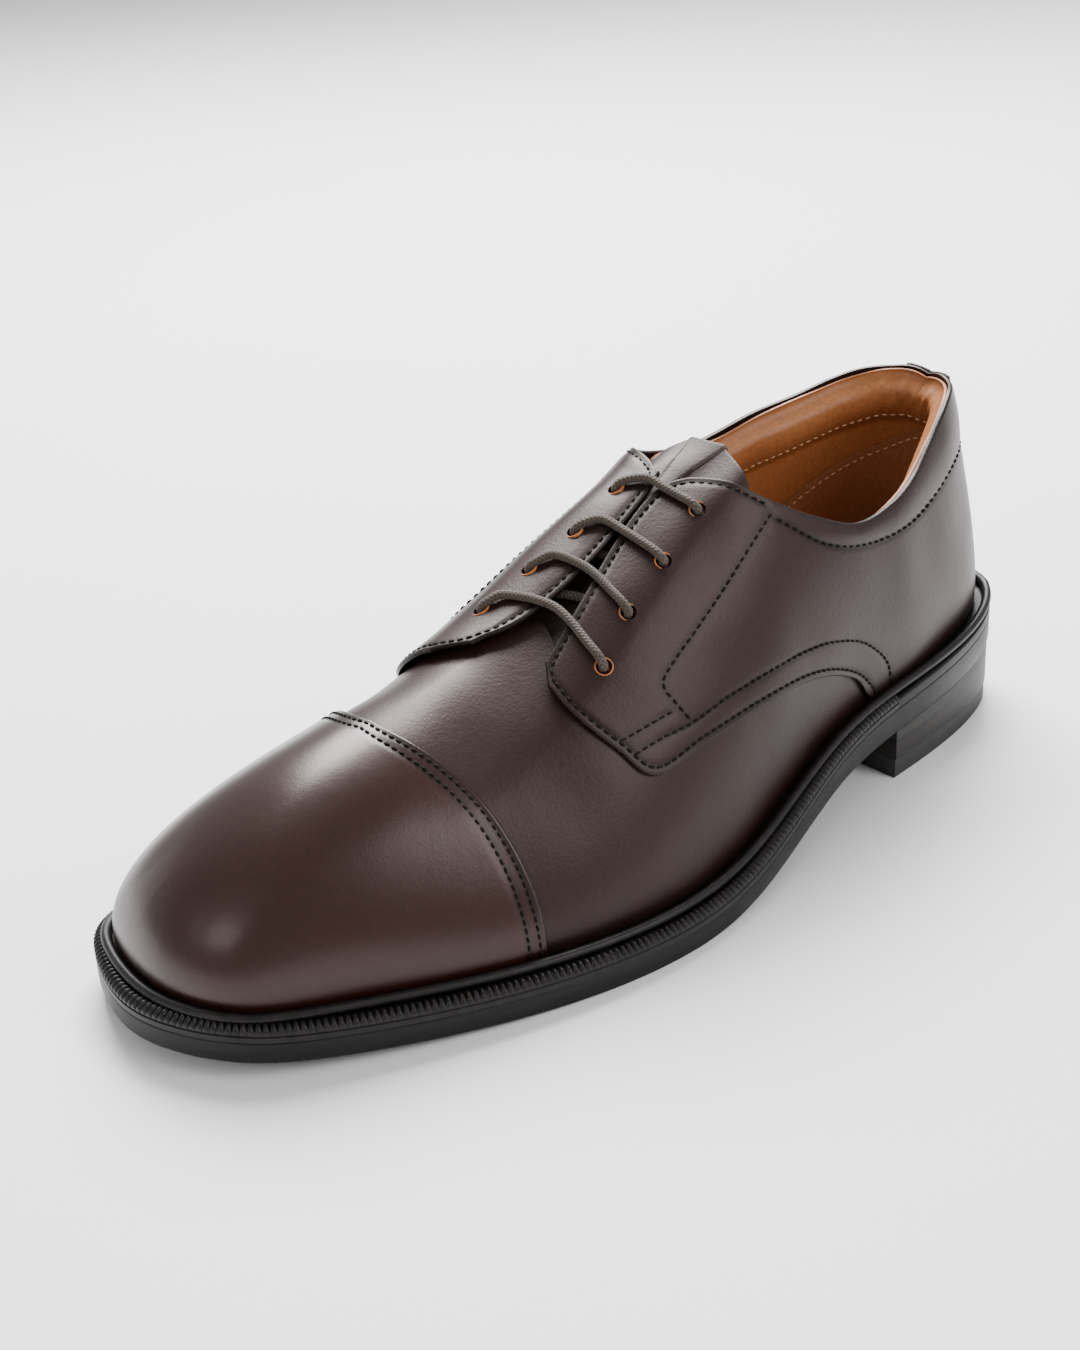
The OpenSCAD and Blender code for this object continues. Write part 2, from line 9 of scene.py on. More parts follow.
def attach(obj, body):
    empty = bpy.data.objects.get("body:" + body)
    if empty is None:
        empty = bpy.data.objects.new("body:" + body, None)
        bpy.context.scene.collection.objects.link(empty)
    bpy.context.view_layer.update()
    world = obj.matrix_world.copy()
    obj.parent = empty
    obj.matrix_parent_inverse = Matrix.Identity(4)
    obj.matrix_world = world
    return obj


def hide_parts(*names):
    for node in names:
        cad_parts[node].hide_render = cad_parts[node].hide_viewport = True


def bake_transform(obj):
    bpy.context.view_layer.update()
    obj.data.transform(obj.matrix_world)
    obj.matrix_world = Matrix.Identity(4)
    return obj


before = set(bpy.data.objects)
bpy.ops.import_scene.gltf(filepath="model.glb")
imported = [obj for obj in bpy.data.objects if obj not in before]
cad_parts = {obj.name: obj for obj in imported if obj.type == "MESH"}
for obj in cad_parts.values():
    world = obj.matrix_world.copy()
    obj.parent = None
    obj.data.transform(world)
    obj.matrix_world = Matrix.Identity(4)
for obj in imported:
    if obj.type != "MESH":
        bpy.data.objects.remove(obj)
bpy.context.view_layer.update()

# ---------------------------------------------------------------- foot form
# All lengths are in mm: x to the outer side, s from heel to toe, z up. A row holds the lower edge's s, its
# outer and inner x and its height, the sole's width outside it, the top line's s, x and height, and then the
# length and lean of the side curve's handle at its lower end and at its upper end.
ROWS = np.array([
    [5, 0, 0, 34, 4, 16, 0, 117, 25, 11, 30, 84], [7, 17, 20, 33, 5, 18, 10, 113, 20, 2, 31, 84],
    [28, 28, 31, 30, 5, 32, 20, 115, 23, 6, 30, 84], [60, 33, 31, 28, 6, 62, 22, 118, 26, 8, 34, 80],
    [99, 35, 29, 25, 7, 96, 12, 118, 26, 8, 36, 45], [146, 50, 37, 10, 8, 123, 0, 104, 23, 8, 34, 8],
    [182, 55, 50, 9, 9, 154, 0, 90, 20, 10, 34, 4], [224, 47, 48, 10, 9, 191, 0, 70, 17, 10, 27, 0],
    [259, 33, 40, 12, 10, 227, 0, 62, 21, 11, 31, 0], [286, 23, 38, 14, 7, 252, 0, 57, 17, 11, 25, 0],
    [293, 10, 24, 15, 7, 264, 0, 51, 15, 10, 19, 0], [296, -4, 4, 15, 9, 267, 0, 50, 14, 10, 18, 0]], float)
LAST = len(ROWS) - 1
MID_X, MID_S = 2.1, 152.3    # middle of the whole shoe, where the shared frame has its origin
rng = np.random.default_rng(7)


def ease(x):
    u = np.clip(x, 0, 1)
    return u * u * (3 - 2 * u)


def rails(side):
    """Control rows of one side, with one folded row before the heel and after the toe."""
    out = []
    for i in range(-1, LAST + 2):
        folded = not 0 <= i <= LAST
        k = abs(i) if i < 0 else min(i, 2 * LAST - i)
        r = ROWS[k]
        outer = k in (0, LAST) or (side < 0 if folded else side > 0)
        sign = 1 if outer else -1
        out.append([r[1] if outer else -r[2], r[0], r[3], r[4], sign * r[6], r[5], *r[7:]])
    return np.array(out)


RAILS = {1: rails(1), -1: rails(-1)}


def section(side, t):
    """Blended control row at t (an array)."""
    t = np.asarray(t, float)
    i = np.minimum(np.floor(t), LAST - 1).astype(int)
    u = (t - i)[..., None]
    c = RAILS[side]
    return ((1 - u) ** 3 * c[i] + (3 * u ** 3 - 6 * u ** 2 + 4) * c[i + 1]
            + (-3 * u ** 3 + 3 * u ** 2 + 3 * u + 1) * c[i + 2] + u ** 3 * c[i + 3]) / 6


def side_point(side, t, v):
    """Point of one side's curve at t, v from 0 at the lower edge to 1 at the top line."""
    q = section(side, t)
    d = q[..., 0:2] - q[..., 4:6]
    o = d / np.maximum(np.linalg.norm(d, axis=-1, keepdims=True), 1e-4)
    tm = np.minimum(t, LAST - 0.35)
    a, b = section(1, np.maximum(tm - 0.01, 0)), section(1, tm + 0.01)
    run = b[..., 5] - a[..., 5]
    level_off = np.abs(run) < 1e-4
    slope = np.where(level_off, 0, (b[..., 6] - a[..., 6]) / np.where(level_off, 1, run))
    m = slope * np.clip(1 - q[..., 10] / 30, 0, 1)
    p0, p3 = q[..., 0:3], q[..., 4:7]
    low, high = np.radians(q[..., 8]), np.radians(q[..., 10])
    p1 = p0 + q[..., 7:8] * np.stack([np.sin(low) * o[..., 0], np.sin(low) * o[..., 1], np.cos(low)], -1)
    p2 = p3 + q[..., 9:10] * np.stack([np.cos(high) * o[..., 0], np.cos(high) * o[..., 1],
                                       np.cos(high) * o[..., 1] * m - np.sin(high)], -1)
    v = v[..., None]
    return (1 - v) ** 3 * p0 + 3 * v * (1 - v) ** 2 * p1 + 3 * v * v * (1 - v) * p2 + v ** 3 * p3


def form(t, w):
    """Point of the foot form at t along the shoe and w around it (0 outer edge, 1 top, 2 inner edge)."""
    t, w = np.broadcast_arrays(np.asarray(t, float), np.asarray(w, float))
    fold = (t < 0) | (t > LAST)
    w = np.where(fold, 2 - w, w)
    t = np.where(t < 0, -t, np.where(t > LAST, 2 * LAST - t, t))
    outer = side_point(1, t, np.clip(w, 0, 1))
    inner = side_point(-1, t, np.clip(2 - w, 0, 1))
    return np.where((w <= 1)[..., None], outer, inner)


DIP_DEPTH = 3.2
TOE_T, TOE_W = np.linspace(7.2, LAST, 44), np.linspace(0, 2, 81)


def toe_table(spread=7.0):
    """Shift over (TOE_T, TOE_W) that evens out the curvature around the front end of the top line."""
    t, w = np.meshgrid(TOE_T, TOE_W, indexing="ij")
    p = form(t, w)
    e = 1e-3
    du = form(np.minimum(t + e, LAST), w) - form(np.minimum(t + e, LAST) - 2 * e, w)
    dv = form(t, np.clip(w + e, 0, 2)) - form(t, np.clip(w - e, 0, 2))
    area = np.linalg.norm(np.cross(du, dv), axis=-1).ravel() + 1e-12
    area *= np.where((t == TOE_T[-1]).ravel(), 0.5, 1.0)
    flat = p.reshape(-1, 3)

    def average(values):
        out = np.zeros_like(values)
        for k in range(0, len(flat), 600):
            d2 = ((flat[k:k + 600, None] - flat[None]) ** 2).sum(-1)
            g = np.exp(-d2 / (2 * spread ** 2)) * area
            out[k:k + 600] = (g @ values) / g.sum(1, keepdims=True)
        return out
    once = average(flat)
    shift = 2 * once - average(once) - flat
    line = form(np.linspace(9.2, LAST, 30), np.ones(30))
    away = np.sqrt(((flat[:, None] - line[None]) ** 2).sum(-1)).min(1)
    return (shift * ease((32 - away) / 18)[:, None]).reshape(p.shape)


def toe_rounding(t, w):
    """The shift of toe_table at (t, w), between its grid points."""
    over = t > LAST
    row = (np.where(over, 2 * LAST - t, t) - TOE_T[0]) / (TOE_T[1] - TOE_T[0])
    column = np.where(over, 2 - w, w) / (TOE_W[1] - TOE_W[0])
    i = np.clip(row, 0, len(TOE_T) - 1.0001)
    j = np.clip(column, 0, len(TOE_W) - 1.0001)
    a, b = i.astype(int), j.astype(int)
    f, g = (i - a)[..., None], (j - b)[..., None]
    return ((TOE_SHIFT[a, b] * (1 - f) + TOE_SHIFT[a + 1, b] * f) * (1 - g)
            + (TOE_SHIFT[a, b + 1] * (1 - f) + TOE_SHIFT[a + 1, b + 1] * f) * g)


def dip(t, w):
    """Flattening of the top between the two rows of eyelets."""
    k = np.clip((t - 5.2) / 1.2, -1, 2)
    x = np.clip((w - .94 + .05 * k) / (.19 + .1 * k), -1, 1)
    return DIP_DEPTH * (1 - x * x) ** 2 * ease((t - 3.9) / .9) * ease((7.8 - t) / 1.4)


def skin(t, w, off=0.0):
    """Form point moved out by off, in the shoe's own frame (x, y, z in mm), with its normal."""
    t, w = np.broadcast_arrays(np.asarray(t, float), np.asarray(w, float))
    e = 0.02
    wc = np.clip(w, e, 2 - e)
    tc = np.where(np.abs(w - 1) < e, np.minimum(t, LAST - 2 * e), t)
    n = np.cross(form(tc + e, wc) - form(tc - e, wc), form(tc, wc + e) - form(tc, wc - e))
    n /= np.maximum(np.linalg.norm(n, axis=-1, keepdims=True), 1e-9)
    p = form(t, w) + toe_rounding(t, w) + (np.asarray(off, float) - dip(t, w))[..., None] * n
    return np.stack([p[..., 0] - MID_X, MID_S - p[..., 1], p[..., 2]], -1), n * [1, -1, 1]


TOE_SHIFT = toe_table()


def smooth(points, n):
    """Catmull-Rom line through the points, n steps between each two."""
    p = np.array(points, float)
    m = len(p) - 1
    out = []
    for i in range(m):
        a, b, c, d = p[max(i - 1, 0)], p[i], p[i + 1], p[min(i + 2, m)]
        for k in range(n):
            u = k / n
            out.append(0.5 * (2 * b + u * (c - a) + u * u * (2 * a - 5 * b + 4 * c - d)
                              + u ** 3 * (3 * b - a - 3 * c + d)))
    return np.array(out + [p[m]])


# ---------------------------------------------------------------- layers and pattern lines
LEATHER, LINING, FACING, COUNTER = 1.25, 1.0, 0.8, 1.4    # thickness
GAP, FACING_GAP = 0.35, 0.8
OVER_VAMP = LEATHER + GAP
RISE = 2.0           # extra room under the flaps
PAD_DROP = 0.19      # how far the padding reaches below the topline, as a share of the side
PAD_DEPTH = 3.2
HOLE_R, HOLE_SIDES, LACE_R = 2.1, 28, 1.2


def side_v(w):
    """Height on either side, 0 at the lower edge and 1 at the top line."""
    return np.where(w <= 1, w, 2 - w)


def quarter_out(t, w):
    """Outer offset of the quarters: on the form at the heel, over the vamp in front, raised at the flaps."""
    raised = RISE * ease((side_v(w) - 0.5) / 0.35) * ease((np.abs(t) - 4) / 0.8)
    return OVER_VAMP * ease(np.abs(t) - 2.2) + raised


def quarter_inner(t, w):
    return quarter_out(t, w) - LEATHER


OUTER_LINE = np.array([[0, .84], [.6, .86], [1.2, .87], [1.6, .86], [2, .82], [2.35, .76], [2.65, .7],
                       [2.95, .66], [3.2, .63], [3.4, .62], [3.65, .62], [3.9, .66], [4.1, .7], [4.35, .76],
                       [4.5, .79]])
INNER_LINE = np.array([[0, .84], [.6, .87], [1.3, .88], [2.1, .84], [2.75, .79], [3.1, .77], [3.5, .735],
                       [3.75, .72], [4, .735], [4.2, .76], [4.5, .8]])


def topline(t):
    """Height share of the shoe's opening at t; a negative t is on the inner side."""
    t = np.asarray(t, float)
    return np.where(t < 0, np.interp(-t, *INNER_LINE.T), np.interp(t, *OUTER_LINE.T))


def topline_at(t, w):
    return topline(np.where((t >= 0) & (w > 1), -t, t))


def lining_low(t, w):
    """Outer offset of the lining, pushed in by the collar padding and the heel counter."""
    at_pad = np.clip((side_v(w) - topline_at(t, w) + PAD_DROP) / PAD_DROP, 0, 1)
    bulge = np.sin(np.pi * at_pad) * ease((4.5 - np.abs(t)) / 0.5)
    behind = quarter_inner(t, w) - GAP - (COUNTER + GAP) * ease((3.4 - np.abs(t)) / 0.4)
    return np.minimum(behind, -LEATHER - GAP) - PAD_DEPTH * bulge


def lining_out(t, w):
    """The same, rolled out to the quarter along the topline."""
    f = ease((side_v(w) - topline_at(t, w) + .06) / .045) * ease((4.5 - np.abs(t)) / .3)
    return lining_low(t, w) * (1 - f) + (quarter_inner(t, w) - .25) * f


def cap_seam(w):
    """Edge of the toe cap: t at each w."""
    k = np.where(w <= 1, 0.55, 0.8)
    return 6.8 + (1.27 + k) * side_v(w) ** 2.6 - k * side_v(w) ** 5.2


BOTH_LOW = [[0, 0], [.6, 0], [1.2, 0], [1.7, 0], [2.2, 0], [2.7, 0], [3.1, 0], [3.5, .02], [3.75, .16],
            [4.2, .28], [4.8, .35]]
OUTER_LOW = BOTH_LOW + [[5.36, .38], [5.87, .39], [6.14, .49], [6.42, .62], [6.56, .72]]
INNER_LOW = BOTH_LOW + [[5.45, .38], [6.05, .39], [6.5, .52], [6.85, .68], [7.05, .86]]
OUTER_TOP = [[0, .84], [.7, .865], [1.5, .865], [2, .82], [2.4, .75], [2.8, .675], [3.2, .63], [3.6, .62],
             [4, .68], [4.4, .765], [4.72, .86], [5, .93], [5.3, .955], [5.75, .92], [6.2, .85], [6.55, .78]]
INNER_TOP = [[0, .84], [.7, .872], [1.5, .872], [2.1, .84], [2.6, .8], [3.1, .77], [3.5, .735], [3.75, .72],
             [4.05, .74], [4.4, .79], [4.75, .88], [5.15, 1], [5.5, 1.045], [6.1, 1.07], [6.67, 1.05],
             [7.05, .985]]
EYELETS = [[[6.13, .67], [6.64, 1.11]], [[5.84, .735], [6.26, 1.08]], [[5.43, .775], [5.89, 1.05]],
           [[5, .825], [5.4, 1.05]]]


def mirrored(g):
    return np.stack([g[..., 0], 2 - g[..., 1]], -1)


def graded(n, edge):
    """0 to 1 in n steps with three close steps at each end; edge is 1 mm as a share of the length."""
    close = np.array([0.1, 0.3, 0.6]) * edge
    return np.concatenate([[0], close, np.linspace(close[-1] + edge * 0.4, 1 - close[-1] - edge * 0.4, n),
                           1 - close[::-1], [1]])


def ruled(low, top, columns, rows, length=180, height=80):
    """Grid of (t, w) between two lines, finer at its edges."""
    a, b = smooth(low, 8), smooth(top, 8)
    u = graded(columns, 1 / length) * (len(a) - 1)
    k = np.arange(len(a))
    a, b = [np.stack([np.interp(u, k, q[:, 0]), np.interp(u, k, q[:, 1])], -1) for q in (a, b)]
    f = graded(rows, 1 / height)[:, None, None]
    return a[None] * (1 - f) + b[None] * f


# ---------------------------------------------------------------- mesh helpers
MATERIALS = {}


def bands(rows, size, base=0, closed=False):
    """Quads between neighbouring rings of size points; closed also joins the last ring to the first."""
    ident = base + np.arange(rows * size).reshape(rows, size)
    after = np.roll(ident, -1, axis=0)
    if not closed:
        ident, after = ident[:-1], after[:-1]
    corners = [ident, after, np.roll(after, -1, axis=1), np.roll(ident, -1, axis=1)]
    return np.stack(corners, -1).reshape(-1, 4).tolist()


def turned(quads):
    return [[a, d, c, b] for a, b, c, d in quads]


def offset(off, t, w):
    """Value at (t, w) of an offset from the form, a number or a function."""
    return np.array(np.broadcast_to(off(t, w) if callable(off) else float(off), np.shape(t)))


def new_piece(name, points, faces, material, uv=None):
    """Object from points in mm, smooth shaded with sharp corners kept."""
    mesh = bpy.data.meshes.new(name)
    mesh.from_pydata((np.asarray(points) / 1000).tolist(), [], [list(map(int, f)) for f in faces])
    if uv is not None:
        layer = mesh.uv_layers.new(name="along")
        loops = np.zeros(len(mesh.loops), int)
        mesh.loops.foreach_get("vertex_index", loops)
        layer.data.foreach_set("uv", uv[loops].astype(np.float32).ravel())
    mesh.validate()
    mesh.shade_smooth()
    mesh.set_sharp_from_angle(angle=math.radians(52))
    mesh.materials.append(MATERIALS[material])
    obj = bpy.data.objects.new(name, mesh)
    bpy.context.scene.collection.objects.link(obj)
    return obj


def running(line):
    """Length along a line of points, from its start to each point."""
    return np.concatenate([[0], np.cumsum(np.linalg.norm(np.diff(line, axis=0), axis=1))])


def points_at(line, lengths):
    at = running(line)
    return np.stack([np.interp(lengths, at, line[:, k]) for k in range(line.shape[1])], -1)


def near(points, lines):
    """Distance in mm from each point to the nearest of the lines (lists of points)."""
    every = np.concatenate([points_at(line, np.arange(0, running(line)[-1], 0.4)) for line in lines])
    tree = kdtree.KDTree(len(every))
    for i, p in enumerate(every):
        tree.insert(p, i)
    tree.balance()
    return np.array([tree.find(p)[2] for p in points])


def attribute(obj, name, values):
    a = obj.data.attributes.new(name, "FLOAT", "POINT")
    a.data.foreach_set("value", np.asarray(values, np.float32))


def waves(p, scale, seed):
    """Smooth random field of about unit size over points in mm."""
    r = np.random.default_rng(seed)
    out = 0
    for _ in range(7):
        k = r.normal(size=3)
        k *= r.uniform(0.6, 1.5) / np.linalg.norm(k) * 2 * np.pi / scale
        out = out + np.sin(p @ k + r.uniform(0, 6.28))
    return out / 2.6


EDGE_ROUND = 0.6
GROOVE_WIDTH, GROOVE_DEPTH = 0.75, 0.22
STITCH_SINK = 0.05


def sheet(name, grid, out, inn, material, zip_end=False, seams=(), open_edges=True, lumps=0.0, extra=None):
    """Closed leather sheet between two offsets over a grid of (t, w), with rounded edges and stitch grooves.
    zip_end joins the two halves of the grid's last row to each other, around the toe."""
    n, m = grid.shape[0] - 1, grid.shape[1] - 1
    t, w = grid[..., 0], grid[..., 1]
    o, i = offset(out, t, w), offset(inn, t, w)
    flat, _ = skin(t, w, o)
    edge = np.full(t.shape, 99.0)
    for axis in (0, 1):
        step = np.linalg.norm(np.diff(flat, axis=axis), axis=-1)
        pad = [(0, 0), (0, 0)]
        pad[axis] = (1, 0)
        run = np.cumsum(np.pad(step, pad), axis=axis)
        edge = np.minimum(edge, run)
        if not (zip_end and axis == 0):
            edge = np.minimum(edge, run.take([-1], axis=axis) - run)
    if open_edges:
        thick = np.maximum(o - i, 0.05)
        o -= 0.45 * thick * (1 - np.sqrt(1 - (1 - np.clip(edge / EDGE_ROUND, 0, 1)) ** 2))
    pts = flat.reshape(-1, 3)
    groove = np.zeros(len(pts))
    if seams:
        groove = np.exp(-(near(pts, seams) / GROOVE_WIDTH) ** 2)
        o -= (GROOVE_DEPTH * groove).reshape(o.shape)
    if lumps:
        o += (lumps * waves(pts, 26, 3) * np.clip(edge.ravel() / 8, 0, 1)).reshape(o.shape)
    if extra is not None:
        o += extra(t, w, flat)
    top, under = (skin(t, w, off)[0].reshape(-1, 3) for off in (o, i))
    count = (n + 1) * (m + 1)
    ident = np.arange(count).reshape(n + 1, m + 1)
    if zip_end:
        ident[n] = [n * (m + 1) + min(j, m - j) for j in range(m + 1)]
    quads = np.stack([ident[:-1, :-1], ident[1:, :-1], ident[1:, 1:], ident[:-1, 1:]], -1).reshape(-1, 4)
    last_row = [] if zip_end else list(ident[n, :-1][::-1])
    ring = list(ident[0]) + list(ident[1:, m]) + last_row + list(ident[1:n, 0][::-1])
    faces = [list(dict.fromkeys(q)) for q in quads]
    faces = [f for f in faces if len(f) > 2]
    walls = [[a, b, b + count, a + count] for a, b in zip(ring, ring[1:] + ring[:1]) if a != b]
    middle = faces[len(faces) // 2]
    a, b, c = top[middle[:3]]
    outward = np.dot(np.cross(b - a, c - a), a - under[middle[0]]) > 0
    every = faces + [[k + count for k in reversed(f)] for f in faces] + [list(reversed(f)) for f in walls]
    if not outward:
        every = [list(reversed(f)) for f in every]
    obj = new_piece(name, np.concatenate([top, under]), every, material)
    # the groove mask also carries painted shade into the leather's colour
    attribute(obj, "groove", np.concatenate([groove, np.zeros(count)]))
    attribute(obj, "edge", np.tile(np.exp(-edge.ravel() / 0.8), 2))
    return obj


def tubes(name, path, parts, radius, material, sides):
    """Round cord along the given stretches of a path in mm, with its length along v and its turn along u."""
    p = np.asarray(path, float)
    d = np.gradient(p, axis=0)
    d /= np.linalg.norm(d, axis=1, keepdims=True)
    up = np.zeros_like(p)
    u = np.array([0.31, 0.22, 0.92])    # any direction that the cord doesn't start in
    for k in range(len(p)):
        u = u - (u @ d[k]) * d[k]
        u /= np.linalg.norm(u)
        up[k] = u
    right = np.cross(d, up)
    a = np.arange(sides) * 2 * np.pi / sides
    r = np.broadcast_to(np.asarray(radius, float), (len(p),))
    pts = p[:, None] + r[:, None, None] * (np.cos(a)[None, :, None] * up[:, None]
                                           + np.sin(a)[None, :, None] * right[:, None])
    uv = np.stack([np.broadcast_to(np.arange(sides) / sides, (len(p), sides)),
                   np.broadcast_to(running(p)[:, None] / 10, (len(p), sides))], -1)
    used, turns, faces = [], [], []
    base = 0
    for first, final in parts:
        rings = final - first + 1
        end = base + rings * sides
        faces += turned(bands(rings, sides, base))
        faces += [list(range(base, base + sides))[::-1], list(range(end - sides, end))]
        used.append(pts[first:final + 1].reshape(-1, 3))
        turns.append(uv[first:final + 1].reshape(-1, 2))
        base = end
    return new_piece(name, np.concatenate(used), faces, material, np.concatenate(turns))


def resample(line, step):
    """Evenly spaced points of a line, about step apart."""
    length = running(line)[-1]
    return points_at(line, np.linspace(0, length, max(round(length / step), 1) + 1))


def on_skin(line, off):
    """Pattern line of (t, w) laid on the offset surface, in mm, with its normals."""
    t, w = smooth(line, 10).T
    return skin(t, w, offset(off, t, w))


def stitches(name, runs, pitch=2.5, length=1.9, r=0.3, material="thread"):
    """Rows of separate stitches with tapered ends, sunk into the leather; each run is (points, normals)."""
    pts, faces = [], []
    rings = [(-1, .35), (-.8, .8), (-.3, 1), (.3, 1), (.8, .8), (1, .35)]
    sides = 6
    for line, normals in runs:
        both = resample(np.concatenate([line, normals], 1), pitch)
        for a, b in zip(both[:-1], both[1:]):
            mid, d, n = (a[:3] + b[:3]) / 2, b[:3] - a[:3], a[3:] + b[3:]
            step = np.linalg.norm(d)
            if step < 0.4 * pitch:
                continue
            d /= step
            n = n - (n @ d) * d
            n /= np.linalg.norm(n)
            side = np.cross(d, n)
            tilt = rng.normal(0, 0.05)
            first = list(range(len(pts), len(pts) + sides))
            faces += bands(len(rings), sides, len(pts))
            for x, size in rings:
                sunk = STITCH_SINK + 0.38 * abs(x) ** 3
                c = mid + d * x * length / 2 + side * tilt * x + n * (r * 0.45 - sunk)
                for k in range(sides):
                    ang = 2 * math.pi * k / sides
                    pts.append(c + size * r * (math.cos(ang) * n * 0.85 + math.sin(ang) * side))
            faces.append(first)
            faces.append([k + (len(rings) - 1) * sides for k in reversed(first)])
    return new_piece(name, np.array(pts), faces, material)


# ---------------------------------------------------------------- materials
BLACK, WHITE = (0,) * 3, (1,) * 3


def material(name):
    m = bpy.data.materials.new(name)
    m.use_nodes = True
    MATERIALS[name] = m
    return m.node_tree, m.node_tree.nodes["Principled BSDF"]


def feed(nt, n, inputs):
    """Sets inputs of a node, by name or number: a socket is linked, another value is stored."""
    for key, value in inputs.items():
        if hasattr(value, "is_linked"):
            nt.links.new(value, n.inputs[key])
        else:
            n.inputs[key].default_value = value


def node(nt, kind, inputs, **settings):
    n = nt.nodes.new("ShaderNode" + kind)
    for key, value in settings.items():
        setattr(n, key, value)
    feed(nt, n, inputs)
    return n


def place_of(nt):
    return node(nt, "TexCoord", {}).outputs["Object"]


def noise(nt, scale, detail=3.0, stretch=None, rough=0.5):
    """Noise over the piece's own coordinates; scale is in repeats per metre."""
    at = place_of(nt)
    if stretch:
        at = node(nt, "Mapping", {"Vector": at, "Scale": stretch}).outputs["Vector"]
    inputs = {"Vector": at, "Scale": scale, "Detail": detail, "Roughness": rough}
    return node(nt, "TexNoise", inputs).outputs["Fac"]


def grain(nt, scale):
    """Small cells of leather grain, slightly warped."""
    warp = node(nt, "TexNoise", {"Vector": place_of(nt), "Scale": scale * 0.4, "Detail": 2.0})
    at = node(nt, "VectorMath", {0: warp.outputs["Color"], 1: (0.0016,) * 3, 2: place_of(nt)},
              operation="MULTIPLY_ADD").outputs[0]
    return node(nt, "TexVoronoi", {"Vector": at, "Scale": scale}).outputs["Distance"]


def ramp(nt, fac, *stops):
    """Colour between two stops of (position, colour)."""
    n = node(nt, "ValToRGB", {"Fac": fac})
    for element, (position, colour) in zip(n.color_ramp.elements, stops):
        element.position = position
        element.color = (*colour, 1)
    return n.outputs["Color"]


def mix(nt, fac, a, b, blend="MIX"):
    a, b = (c if hasattr(c, "is_linked") else (*c, 1) for c in (a, b))
    return node(nt, "Mix", {0: fac, 6: a, 7: b}, data_type="RGBA", blend_type=blend).outputs[2]


def value_of(nt, name):
    return node(nt, "Attribute", {}, attribute_name=name).outputs["Fac"]


def bumps(nt, bsdf, *layers):
    """Bump layers of (height socket, strength, distance in mm), one on the other."""
    below = {}
    for height, strength, distance in layers:
        inputs = {"Height": height, "Strength": strength, "Distance": distance / 1000, **below}
        below = {"Normal": node(nt, "Bump", inputs).outputs["Normal"]}
    feed(nt, bsdf, below)


def leather(name, dark, light, warm, rough, gloss=0.3, grain_size=1100, grain_depth=0.25, edge=None):
    """Patchy two-tone leather with painted shade darkening the groove under its stitches, and an edge of its
    own colour.
    """
    nt, b = material(name)
    patches = ramp(nt, noise(nt, 9, 2, rough=0.4), (0.45, BLACK), (0.7, WHITE))
    colour = mix(nt, patches, ramp(nt, noise(nt, 22, 4), (0.35, dark), (0.68, light)), warm)
    fine = ramp(nt, noise(nt, 900, 3), (0.3, (0.82,) * 3), (0.7, (1.12,) * 3))
    colour = mix(nt, 1.0, colour, fine, "MULTIPLY")
    # painted shade: the colour darkens to a quarter of the dark tone along the stitch grooves
    colour = mix(nt, value_of(nt, "groove"), colour, tuple(0.25 * c for c in dark))
    if edge:
        colour = mix(nt, value_of(nt, "edge"), colour, edge)
    shine = node(nt, "MapRange", {0: noise(nt, 60, 5), 3: rough - 0.06, 4: rough + 0.07}).outputs[0]
    feed(nt, b, {"Base Color": colour, "Roughness": shine, "Coat Weight": gloss, "Coat Roughness": 0.28,
                 "Specular IOR Level": 0.26, "Specular Tint": (1, .82, .78, 1)})
    bumps(nt, b, (noise(nt, 70, 4), 0.25, 0.5), (noise(nt, 260, 6, rough=0.65), 0.35, 0.14),
          (grain(nt, grain_size), grain_depth, 0.12), (noise(nt, 2600, 2), 0.15, 0.05))
    return nt, b


def plain(name, source, dark, light, rough, specular=0.5):
    """Material of one noise, its source, between two stops."""
    nt, b = material(name)
    feed(nt, b, {"Base Color": ramp(nt, noise(nt, *source), dark, light), "Roughness": rough,
                 "Specular IOR Level": specular})
    return nt, b


leather("upper_leather", (.0120, .0044, .0033), (.0195, .0090, .0078), (.0150, .0066, .0070), 0.40, 0.06,
        edge=(.006, .0035, .003))
leather("cap_leather", (.0130, .0036, .0026), (.0185, .0062, .0046), (.0215, .0040, .0026), 0.30, 0.30, 1300,
        0.10, edge=(.005, .0026, .0022))
leather("tongue_leather", (.0130, .0056, .0047), (.0190, .0096, .0086), (.0155, .0072, .0068), 0.45, 0.05,
        edge=(.007, .004, .0035))
leather("tan_lining", (.31, .118, .040), (.41, .175, .066), (.27, .098, .032), 0.46, 0.12, 900, 0.18,
        edge=(.30, .11, .035))
nt, b = leather("grip_suede", (.26, .10, .038), (.33, .135, .052), (.22, .082, .03), 0.85, 0.0, 700, 0.35)
feed(nt, b, {"Sheen Weight": 0.5, "Sheen Tint": (.6, .35, .2, 1)})
leather("raw_edge", (.38, .13, .045), (.50, .19, .07), (.30, .10, .03), 0.7, 0.0, 1500, 0.3)
leather("insole_hide", (.42, .27, .14), (.55, .37, .2), (.38, .24, .12), 0.75, 0.0)
leather("counter_board", (.45, .38, .28), (.6, .52, .4), (.4, .33, .25), 0.9, 0.0)

